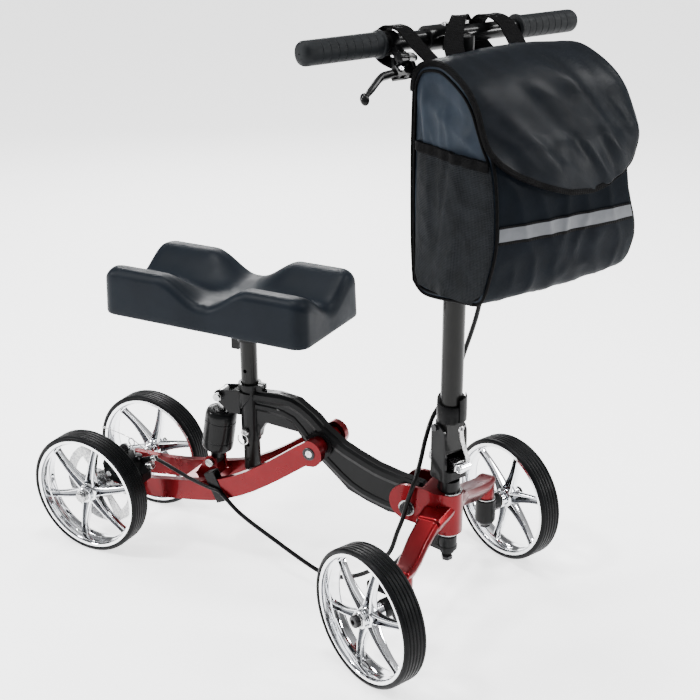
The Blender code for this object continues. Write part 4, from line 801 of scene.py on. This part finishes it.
def bag_straps():
    """Three slack webbing loops over the bar: name, width at the foot and at the top, route."""
    pieces = []
    for name, foot, top, route in (
            ("near", 0.0215, 0.0215, mm(
                (42, -76, 830), (32, -77.5, 837), (13, -83.5, 852), (-4, -86, 865.5), (-16, -88, 871.5),
                (-32, -91, 872), (-45, -95, 861), (-48, -97, 845), (-36, -95, 831), (-10, -88, 822),
                (26.2, -80, 812))),
            ("middle", 0.029, 0.019, mm(
                (44, -43, 830), (33, -40, 839), (16, -29, 852), (-2, -9, 868), (-18, 10, 876.5), (-33, 29, 872),
                (-44, 47, 858), (-48, 58, 843), (-38, 60, 829), (-10, 48, 822), (26.2, 30, 812))),
            ("far", 0.027, 0.026, mm(
                (44, 66, 830), (33, 68, 839.5), (17, 73, 851), (1, 76, 863), (-15, 73.5, 871.5), (-33, 68, 872),
                (-45, 66, 860), (-48, 70, 844), (-36, 74, 830), (-10, 74, 822), (26.2, 74, 812)))):
        wide = [foot + (top - foot) * ease(i / 24) for i in range(60)]
        pieces.append(ribbon("bag_strap_" + name, smooth_path(route, 60), (0.1, 1, 0), wide, 0.0022, "web"))
    return pieces


def make_bag():
    skin = BagSkin(count=150)
    body = BODY_OF["carry_bag"]
    settle(bag_body(skin), body, "carry_bag", place=STEER)
    for piece in (*bag_flap(skin), *bag_pocket(skin), *bag_trim(skin), *bag_straps()):
        settle(piece, body, place=STEER)


make_bag()


# Knee pad

def pad_height(x, y):
    """Top of the pad: four humps round a trough along and a trough across, fallen away at both ends."""
    away = abs(x - PAD_TROUGH)
    side = 0.459 + 0.0335 * ease((away - 0.004) / 0.074)
    low = 0.4525 + 0.009 * ease((away - 0.01) / 0.1)
    level = low + (side - low) * ease((abs(y) - 0.002) / 0.064)
    return level - 0.55 * corner_drop(max(min(x - PAD_X0, PAD_X1 - x), 0.0), 0.026)


def pad_rim(count, corner):
    """Points round the pad's plan, even along its length."""
    dense = []
    for sx, sy, start in ((1, 1, 0), (-1, 1, 90), (-1, -1, 180), (1, -1, 270)):
        for i in range(13):
            turn = radians(start + 90 * i / 12)
            dense.append(Vector((PAD_MID + sx * (PAD_REACH - corner) + corner * cos(turn),
                sy * (PAD_HALF - corner) + corner * sin(turn), 0)))
    return evenly(dense + dense[:1], count + 1)[:-1]


def make_pad():
    rim = pad_rim(count=220, corner=0.02)
    lean = 0.0015
    edge = 0.013

    def ring(depth, height, share=1.0):
        """The plan drawn in by depth and scaled by share, at the height that the function gives."""
        wide = share * (1 - depth / PAD_REACH)
        deep = share * (1 - depth / PAD_HALF)
        return [(x, y, height(x, y)) for x, y in ((PAD_MID + (p.x - PAD_MID) * wide, p.y * deep) for p in rim)]

    rings = []
    for depth, up in mm((70, 0), (30, 0), (12, 0), (8.5, -0.7), (6, -3.7), (4.5, -4.5), (2, -3.9), (0.5, -2.5),
            (0, 0), up=PAD_LOW):
        rings.append(ring(depth, lambda x, y: up))
    for share in (0.15, 0.3, 0.45, 0.6, 0.75, 0.9, 1.0):
        rings.append(ring(lean * share, lambda x, y: PAD_LOW + (pad_height(x, y) - edge - PAD_LOW) * share))
    for degrees in range(10, 91, 8):
        turn = radians(degrees)
        drop = edge * (1 - sin(turn))
        rings.append(ring(lean + edge * (1 - cos(turn)), lambda x, y: pad_height(x, y) - drop))
    rings += [ring(lean + edge, pad_height, 1 - i / 27) for i in range(1, 27)]
    pad = shade(loft("moulded_knee_pad", rings, "pad"), 60)
    settle(pad, BODY_OF["knee_pad"], "knee_pad")


make_pad()


# Grips

def make_grips():
    place = STEER @ moved(-BAR_BACK, 0, BAR_Z)
    for (side, sign), start in zip(SIDES, (0.1085, 0.1205)):
        outer = mm((11.8, 0), (16.6, 0), (17.2, 0.6), (17.2, 3.6), (16.6, 4.3), (15.5, 5.2), up=start)
        spot = start + 0.014
        while spot < BAR_HALF - 0.016:
            outer += [(GRIP_R - deep, spot + on) for deep, on in mm((0, 0), (0.4, 0.4), (0.4, 0.8), (0, 1.2))]
            spot += 0.0118
        outer += [(GRIP_R - deep, BAR_HALF - back) for deep, back in mm(
            (0, 9), (0.4, 5.6), (1.8, 2.8), (4.6, 0.9), (8.5, 0), (14.2, 0), (14.2, 3))]
        node = "grip_" + side
        turned("ringed_" + node, outer, 56, "rubber", BODY_OF[node], node, place=place, axis=(0, sign, 0))


make_grips()


# Shock absorber

def make_shock():
    upper, lower = ((x, 0, z) for x, z in (SHOCK_TOP, SHOCK_LOW))
    line = Vector((SHOCK_LOW[0] - SHOCK_TOP[0], 0, SHOCK_LOW[1] - SHOCK_TOP[1]))
    r = SHOCK_R * 1000
    profile = mm((6.4, 60), (6.4, 28.8), (12.6, 28.5), (13.4, 29), (14, 30), (19, 30.3), (22.2, 31.6), (24, 34.5),
        (24.7, 38.5), (r, 43), (r, 46.2), (24.3, 46.7), (24.3, 47.7), (r, 48.2), (r, 81.5), (24.4, 82), (24.4, 83.2),
        (r, 83.8), (r, 93), (24.5, 96.5), (23.6, 98.5), (21, 99.8), (12, 100.2), (10.4, 101), (9.6, 108),
        (9, line.length * 1000 - 6))
    body = revolve("shock_canister", profile, 72, "black", (0, 0, 1), angle=28)
    body.data.transform(frame_to(line, upper))
    eye = revolve("eye", mm((4.6, -10.6), (7.8, -10.6), (8.5, -9.9), (8.5, 9.9), (7.8, 10.6), (4.6, 10.6)), 40,
        "black", origin=lower, closed=True)
    settle(joined("shock_canister", body, eye), "shock_body", "shock_body")
    saddle = []
    for i in range(25):
        share = i / 24
        turn = radians(172 + 128 * share)
        along = Vector((cos(turn), sin(turn), 0))
        low, high = 0.264 + 0.03 * share * share, 0.303 - 0.004 * share
        section = ((0.0158, low), (0.0172, low - 0.001), (0.0184, low), (0.0186, (low + high) / 2),
            (0.0184, high - 0.001), (0.0172, high), (0.0158, high))
        saddle.append([Vector((SEAT_X, 0, z)) + along * radius for radius, z in section])
    settle(shade(loft("bracket_saddle", saddle, "black"), 45), "frame")
    collar = mm((6.2, 0.2), (9.8, 0.2), (10, 0.8), (9.4, 1.3), (6.6, 1.3), (6.2, 0.9), up=ARM_OUT)
    for side, sign in SIDES:
        axis = (0, sign, 0)
        settle(hexagon("shock_nut_" + side, 0.0072, 0.0203, 0.0232, "zinc", axis, upper, 0.0008), "frame")
        turned("pivot_ring_" + side, collar, 40, "oxide", "swing_arm", axis=axis, origin=(PIVOT[0], 0, PIVOT[1]),
            closed=True)


make_shock()


# Plated rings, washers and nuts of the steering

def ring_piece(name, inner, outer, low, high, place, axis=(0, 0, 1)):
    edge = min((high - low) / 4, (outer - inner) / 4)
    profile = [(inner, low), (outer - edge, low), (outer, low + edge), (outer, high - edge), (outer - edge, high),
        (inner, high)]
    turned(name, profile, 48, "zinc", "frame", place=place, axis=axis, closed=True)


def make_rings():
    ring_piece("bearing_ring_top", 0.0165, 0.02, HEAD_TOP + 0.0001, HEAD_TOP + 0.0019, STEER)
    ring_piece("bearing_ring_low", 0.0132, 0.0178, HEAD_LOW - 0.0042, HEAD_LOW - 0.0002, STEER)
    for side, sign in SIDES:
        place = knuckle_place(sign)
        ring_piece("kingpin_ring_" + side, 0.0128, 0.0152, KING_Z + 0.0001, KING_Z + 0.0019, place)
        ring_piece("lug_washer_" + side, 0.0101, 0.0126, LUG_OUT + 0.0001, LUG_OUT + 0.0013,
            moved(LUG_BOLT[0], 0, LUG_BOLT[1]), (0, sign, 0))
        nut = hexagon("kingpin_nut_" + side, 0.0085, -0.0001, 0.006, "oxide", (0, 0, -1), (0, 0, 0.0758))
        settle(nut, BODY_OF["knuckle_front_" + side], place=place)
    crank_nut = hexagon("crank_nut", 0.0088, 0.0001, 0.007, "oxide", (0, 0, -1), (0, 0, 0.0994))
    settle(crank_nut, "steering", place=STEER)


make_rings()


# Quick-release lever: cam barrel, curled eye and forged blade

def torus(name, radius, wire, mat, axis, origin):
    turns = [2 * pi * k / 12 for k in range(12)]
    section = [(radius + wire * cos(turn), wire * sin(turn)) for turn in turns]
    return revolve(name, section, 40, mat, axis, origin, True, 60)


def make_release():
    barrel = revolve("barrel", mm((4.4, -7.4), (6.8, -7.4), (7.5, -6.8), (7.5, -3), (6.8, -2.4), (6.6, 11), (5.8, 12),
        (4, 12.2)), 40, "chrome", origin=(CAM_F, 0, LOCK_Z))
    eye = torus("eye", 0.0058, 0.0016, "chrome", (0, 1, 0), (CAM_F, -0.008, LOCK_Z))
    # The pin takes the darkened chrome, the same painted shade as the spoke channels.
    pin = revolve("pin", mm((3, -9.2), (3.4, -8.6), (3.4, -6)), 24, "shadow", origin=(CAM_F, 0, LOCK_Z))
    route = smooth_path(mm((29, 6, 261), (31.8, 4.6, 268), (33.8, 1.5, 276), (34.6, -3.1, 286), (34.3, -6.7, 296),
        (32.8, -8.6, 308), (31.8, -9, 318.5)), 34)
    section = ((-1, -0.6), (-0.85, -1), (0.85, -1), (1, -0.6), (1, 0.8), (0.8, 1), (0.45, 0.35), (-0.45, 0.35),
        (-0.8, 1), (-1, 0.8))
    rings = []
    for i, (head, point) in enumerate(zip(headings(route), route)):
        side = head.cross(Vector((1, 0, 0))).normalized()
        out = side.cross(head)
        wide = 0.0046 - 0.0016 * ease(i / 14)
        rings.append([point + side * (u * wide) + out * (v * 0.0019) for u, v in section])
    blade = shade(loft("blade", rings, "zinc"), 40)
    tip = torus("tip", 0.0036, 0.0014, "zinc", (1, 0, 0), (0.0318, -0.009, 0.3215))
    settle(joined("release_lever", barrel, eye, pin, blade, tip), "quick_release", "quick_release_lever", place=STEER)


make_release()


# Rubber boot with a lapped flap

def make_boot():
    rings = []
    for radius, level in ((0.0163, 0), (0.02, 0), (0.0206, 1), (0.0208, 2), (0.0205, 3), (0.0198, 4), (0.0165, 4)):
        ring = []
        for k in range(72):
            turn = 2 * pi * k / 72
            dip = 0.5 + 0.5 * cos(turn + radians(40))
            high = 0.359 - 0.011 * ease(dip * 1.3 - 0.2)
            low = 0.3226 + 0.0012 * cos(2 * turn)
            z = (low, low + 0.0012, low + (high - low) * 0.5, high - 0.0012, high)[level]
            ring.append((radius * cos(turn), radius * sin(turn), z))
        rings.append(ring)
    sleeve = shade(loft("boot", rings, "plastic", True), 50)
    flap = []
    for k in range(19):
        turn = radians(-8 + 76 * k / 18)
        along = Vector((cos(turn), sin(turn), 0))
        low, high = 0.3236, 0.3608 - 0.0012 * cos(k * 0.5)
        lift = 0.0004 * sin(pi * k / 18)
        section = ((0.0209, low), (0.0221, low + 0.0008), (0.0224, (low + high) / 2), (0.0219, high - 0.0006),
            (0.0206, high), (0.0206, high - 0.004))
        flap.append([along * (radius + lift) + Vector((0, 0, z)) for radius, z in section])
    lap = shade(loft("lap", flap, "plastic"), 40)
    settle(joined("stem_sleeve", sleeve, lap), "stem", "stem_boot", place=STEER)


make_boot()


# Small parts round the calliper and the cable

def make_brake_details():
    for name, x, z, size in (("low", 0.025, 0.13, 0.0052), ("front", 0.08, 0.13, 0.0052),
            ("top", 0.03, 0.156, 0.0046)):
        settle(hexagon("calliper_bolt_" + name, size, 0.0001, 0.0036, "zinc", (0, -1, 0), (x, -ROTOR_Y - 0.0085, z),
            0.0006), "swing_arm")
    ribs = mm((4, 0.1))
    for i in range(4):
        ribs += mm((6, 0), (7.2, 0.4), (7.2, 1.8), (6, 2.2), up=0.0012 + 0.003 * i)
    for name, profile, steps, mat, axis, origin in (
            ("calliper_adjuster", ribs + mm((5, 13.4), (3, 14)), 40, "oxide", (-0.35, 0, 1), (0.052, -0.056, 0.1697)),
            ("calliper_boss", mm((5.2, 0.1), (6.4, 1), (6.4, 5.6), (5, 6.8), (2.6, 7)), 36, "oxide", (0.25, 0, 1),
             (0.074, -0.054, 0.1626)),
            ("cable_clamp_barrel", mm((3.2, -6.8), (5, -6.6), (5.6, -5.6), (5.6, 5.6), (5, 6.6), (3.2, 6.8)), 36,
             "zinc", (1, 0, 0.2), (0.0985, -0.0555, 0.1555))):
        turned(name, profile, steps, mat, "swing_arm", axis=axis, origin=origin)
    loop = []
    for i in range(26):
        turn = radians(-70 + 300 * i / 25)
        loop.append((0.065 + 0.0058 * cos(turn), -0.056 + 0.0016 * i / 25, 0.19 + 0.0066 * sin(turn)))
    wire = mm((70, -56, 169), (69, -56.2, 177)) + loop + mm((60, -54, 179), (56, -53, 171))
    tail = smooth_path(mm((96.5, -50, 172.2), (80, -50, 183), (58, -50, 193.5), (30, -50, 198.5), (4, -50, 201)), 30)
    for name, points, radius, sides in (("spring_wire", smooth_path(wire, 90), 0.001, 8),
            ("inner_wire_tail", tail, 0.0007, 8), ("inner_wire_crimp", tail[-3:], 0.0013, 10)):
        settle(sweep(name, points, radius, "zinc", sides), "swing_arm")
    turned("cable_ferrule", mm((3, 0), (4.8, 0), (5.2, 0.6), (5.2, 3.6), (4.6, 4.2), (4.4, 9), (3.6, 9.6), (3, 9.6)),
        32, "zinc", "swing_arm", axis=(26, 0, 10.1), origin=(0.0986, -0.049, 0.1652), closed=True)


def make_lever_details():
    low = Vector((0.0092, -0.111, BAR_Z - 0.0095))
    high = Vector((0.0096, -0.099, BAR_Z - 0.0115))
    rise = (high - low).normalized()
    profile = mm((2.6, 0))
    for i in range(5):
        profile += mm((5.6, 0), (6, 0.4), (6, 1), (5.2, 1.4), up=0.0002 + 0.0019 * i)
    profile += mm((4.2, 10), (3.8, 13.6), (2.6, 13.8))
    turned("cable_adjuster", profile, 36, "zinc", "handlebar", place=STEER, axis=rise, origin=high + rise * 0.0004,
        closed=True, angle=28)
    for name, side in (("one", -0.017), ("two", 0.017)):
        turned("bar_bolt_" + name, mm((4, 0), (4.6, 0.4), (4.6, 3.6), (3.8, 4.4), (2.2, 4.4), (2, 2.4), (0, 2.2)), 28,
            "zinc", "handlebar", place=STEER, axis=(0, 0, 1), origin=(-0.014, side, BAR_Z + 0.0158))


make_brake_details()
make_lever_details()


# Brake lever blade and its forked holder

def make_lever():
    up = (0, 0, 1)
    z = Vector((0.75, 0, 0.66)).normalized()
    x = Vector((0, -1, 0))
    place = STEER @ moved(0.008, -0.112, BAR_Z - 0.029)
    place = place @ Matrix((x, z.cross(x), z)).transposed().to_4x4()
    route = smooth_path(mm((-3, -0.6, 0), (5, 0.4, 0), (14, 1.2, 0), (26, 3, 0), (34, 7, 0), (43, 13, 0),
        (54, 20.5, 0), (63.2, 26.2, 0)), 40)
    rings = []
    half = ((-1, -0.55), (-0.8, -0.9), (-0.45, -1), (0.45, -1), (0.8, -0.9), (1, -0.55))
    for head, point in zip(headings(route), route):
        side = Vector((-head.y, head.x, 0))
        wide = 0.004 + 0.0006 * ease((0.03 - abs(point.x - 0.02)) / 0.03)
        wide -= 0.001 * ease((point.x - 0.05) / 0.012)
        tall = 0.0031 + 0.002 * ease((point.x - 0.004) / 0.006)
        rings.append([point + side * (s * u * wide) + Vector((0, 0, s * v * tall)) for s in (1, -1) for u, v in half])
    blade = shade(loft("blade", rings, "black"), 50)
    boss = revolve("boss", mm((2.4, -3.1), (6, -3.1), (6, 3.1), (2.4, 3.1)), 40, "black", up, closed=True)
    turns = [radians(-90 + 180 * i / 16) for i in range(1, 16)]
    profile = mm((0.1, -8.2)) + [(0.0056 * cos(t), 0.0082 * sin(t)) for t in turns] + mm((0.1, 8.2))
    knob = revolve("knob", profile, 40, "black", (0.25, 1, 0), (0.0655, 0.0285, 0), angle=60)
    settle(joined("brake_lever_blade", blade, boss, knob), "brake_lever", "brake_lever", place=place)
    cheek = mm((5, 4.8), (5.8, 0), (5, -4.8), (-2, -11), (-7.5, -24), (-21, -24), (-26, -8), (-26.5, 6), (-12, 7.2))
    web = mm((-10, 7), (-9, -22), (-20.5, -23.5), (-25.5, -8), (-26, 5.5))
    plates = []
    for low, high, points in ((0.0042, 0.0078, cheek), (-0.0078, -0.0042, cheek), (-0.0043, 0.0043, web)):
        plate = loft("cheek", [[(*point, level) for point in points] for level in (low, high)], "black")
        plates.append(bevelled(plate, 0.0009, 2, 30))
    pin = revolve("pin", mm((1, 7.9), (3.4, 7.9), (3.6, 8.3), (3.6, 9.4), (3, 10), (1.4, 10), (1, 9)), 32, "zinc", up,
        closed=True)
    settle(joined("brake_lever_fork", *plates, pin), "handlebar", place=place)


make_lever()


def plump(node, mat, radius):
    """A CAD cable drawn round and a little fuller."""
    obj = modified(dress(node, mat, 0.0, 1, 70), "SUBSURF", levels=1, render_levels=1)
    for vert in obj.data.vertices:
        vert.co += vert.normal * radius
    shade(obj, 70)


# Brake cable between the handlebar and the swing arm: one route in four lengths, one for each joint it crosses

def make_cable_loop():
    route = smooth_path(mm((624.5, 37.2, 564), (624.1, 40.6, 548.5), (613.2, 42, 477.1), (594.5, 45, 412.1),
        (579.6, 30, 352.6), (559.7, 20, 313.7), (555.4, 3, 283.2), (555.8, -13, 257.5), (556, -28, 235.9),
        (554.1, -37, 221), (548.5, -42, 197.5), (544.3, -48, 172.8), (538, -54, 149.3), (527.5, -60, 114.5),
        (493.2, -56, 72), (452.1, -62, 52.9), (410.5, -62, 51.5), (317.2, -56, 86.4), (264.9, -52, 109),
        (236, -49.5, 129), (229.4, -49.2, 133.6)), 201)
    lengths = (("top", "handlebar", "stem", 0, 41, (0.6, 0.04, 0.552), (0.6, 0.04, 0.405)),
        ("stem", "stem", "steering", 41, 70, (0.57, 0.02, 0.392), (0.57, 0.02, 0.296)),
        ("front", "steering", "frame", 70, 158, (0.556, -0.02, 0.288), (0.556, -0.02, 0.215)),
        ("rear", "frame", "swing_arm", 158, 200, (0.39, -0.05, 0.1), (0.24, -0.05, 0.1)))
    for name, one, other, first, last, start, end in lengths:
        piece = sweep("cable_" + name, route[max(first - 1, 0):last + 1], 0.0034, "cable", 12)
        piece.data.transform(SHIFT)
        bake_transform(piece)
        if name == "rear":
            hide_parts("cable_loop")


make_cable_loop()


# Axle arms that close over the kingpin sleeves

def make_axle_arms():
    unit = [(0, 0.55), (0, 0.78), (0.04, 0.93), (0.12, 1), (0.74, 1), (0.9, 0.95), (1, 0.78), (0.98, 0.62),
        (0.84, 0.36), (0.62, 0.05), (0.52, 0), (0.28, 0), (0.12, 0.05), (0.03, 0.28)]
    sections = mm((10, 566.5, 612, 156, 194), (30, 566.8, 610, 152, 190.5), (50, 567.5, 606.5, 148, 186.5),
        (52.5, 567.8, 605.5, 148.5, 185.5), (54.5, 569, 604, 149, 182.5), (90, 570, 604, 137, 170),
        (120, 575, 608, 131, 163.2))
    for y, rear, front, low, high in mm((-10, -17, 14, 7, 37.9), (0, -15.8, 14.2, 11, 38.9),
            (8, -13.8, 12.8, 15, 37.9), (12.2, -10, 9.5, 20, 34.9)):
        sections.append((TRACK + y, STEER_X + rear, STEER_X + front, KING_Z + low, KING_Z + high))
    barrel = mm((6.2, 0), (11.8, 0), (12.6, 0.8), (13.2, 9), (13.2, 32.5), (11.8, 35.1), (6.2, 35.1), up=KING_Z)
    for side, sign in SIDES:
        node = "axle_arm_" + side
        rings = [[(rear + (front - rear) * u, sign * y, low + (high - low) * v) for u, v in unit]
            for y, rear, front, low, high in sections]
        arm = shade(bevelled(loft(node + "_forging", rings, "red"), 0.0012, 2, 24), 40)
        sleeve = revolve("sleeve", barrel, 64, "red", (0, 0, 1), (STEER_X, sign * TRACK, 0), True)
        settle(joined(node + "_forging", arm, sleeve), "frame", node)


make_axle_arms()


# Plain dressing of the CAD solids

for finish, width, segments, cad_nodes in (
        ("black", 0.003, 3, "main_beam"),
        ("black", 0.0009, 2, "seat_tube shock_bracket steering_column steering_crank tie_rod_right tie_rod_left "
         "knuckle_front_right knuckle_front_left pad_bracket brake_calliper calliper_arm bar_clamp handlebar "
         "brake_lever_mount height_clamp seat_collar"),
        ("tube", 0.0006, 2, "stem_tube handlebar_post seat_post"),
        ("red", 0.0022, 3, "front_head"),
        ("red", 0.0016, 3, "swing_arm_right swing_arm_left pivot_sleeve shock_lower_bracket"),
        ("zinc", 0.0004, 2, "shock_upper_bolt rear_axle shock_lower_bolt shock_rod brake_rotor lock_skewer snap_pin "
         "pivot_bolt"),
        ("oxide", 0.0005, 2, "lug_bolt fold_pin"),
        ("cable", 0.0008, 2, "cable_clip")):
    for cad_node in cad_nodes.split():
        dress(cad_node, finish, width, segments)
for cad_node in ("cable_on_bar", "cable_on_swing_arm"):
    plump(cad_node, "cable", 0.0009)


# Floor, lights and camera

def make_stage():
    corners = [(-9, -9, 0), (9, -9, 0), (9, 9, 0), (-9, 9, 0)]
    ground = mesh_object("pale_floor", corners, [(0, 1, 2, 3)], "white")
    paper = Finish("paper_white", (900, 900, 905), 0, 0.75)
    paper.tint(0.8, (895, 895, 900), (905, 905, 910))
    paper.set("Emission Color", (1.0, 1.0, 1.0, 1.0))
    paper.set("Emission Strength", 1.9)
    ground.data.materials[0] = paper.mat
    world = bpy.data.worlds.new("studio")
    bpy.context.scene.world = world
    world.use_nodes = True
    tree = world.node_tree
    back = tree.nodes["Background"]
    back.inputs["Strength"].default_value = 1.0
    kinds = ("TexCoord", "SeparateXYZ", "MapRange", "ValToRGB")
    coord, split, half, ramp = (tree.nodes.new("ShaderNode" + kind) for kind in kinds)
    levels = [(0.0, 2.2), (0.495, 2.2), (0.515, 1.2), (0.54, 0.2), (0.68, 0.12), (0.84, 0.6), (1.0, 1.1)]
    fill_ramp(ramp.color_ramp, [(spot, (level, level, level * 1.01)) for spot, level in levels])
    half.inputs["From Min"].default_value = -1.0
    half.inputs["From Max"].default_value = 1.0
    for source, target in ((coord.outputs["Generated"], split.inputs["Vector"]),
            (split.outputs["Z"], half.inputs["Value"]), (half.outputs["Result"], ramp.inputs["Fac"]),
            (ramp.outputs["Color"], back.inputs["Color"])):
        tree.links.new(source, target)


def make_lights():
    for name, spot, target, size, power in (
            ("top_panel", (-0.2, 0.1, 3.0), (0, 0, 0.6), (0.5, 0.5), 60),
            ("key_panel", (-2.3, -1.3, 1.5), (0, 0, 0.4), (0.35, 0.6), 60),
            ("right_panel", (2.6, 0.8, 1.25), (0.2, 0, 0.6), (0.35, 0.6), 55),
            ("back_panel", (-1.5, 2.2, 1.5), (0, 0, 0.4), (1.0, 0.45), 50),
            ("edge_panel", (-1.0, -1.0, 2.4), (0, 0, 0.4), (0.4, 0.25), 55),
            ("flap_panel", (1.45, 1.15, 2.2), (0.25, 0, 0.75), (0.45, 0.8), 36)):
        light = bpy.data.lights.new(name, "AREA")
        light.shape = "RECTANGLE"
        light.size, light.size_y = size
        light.energy = power
        obj = placed(name, light)
        obj.location = spot
        obj.rotation_euler = (Vector(target) - Vector(spot)).to_track_quat("-Z", "Y").to_euler()


def make_camera():
    cam = bpy.data.cameras.new("photo_camera")
    cam.sensor_width = 36
    cam.lens = 65.05
    cam.shift_x = -0.0198
    cam.shift_y = 0.0292
    cam.clip_end = 60
    obj = placed("photo_camera", cam)
    turn = Matrix.Rotation(radians(27.22), 4, "Z") @ Matrix.Rotation(radians(66.74), 4, "X")
    obj.matrix_world = SHIFT @ moved(1.2286, -1.5026, 1.0968) @ turn
    bpy.context.scene.camera = obj


make_stage()
make_lights()
make_camera()
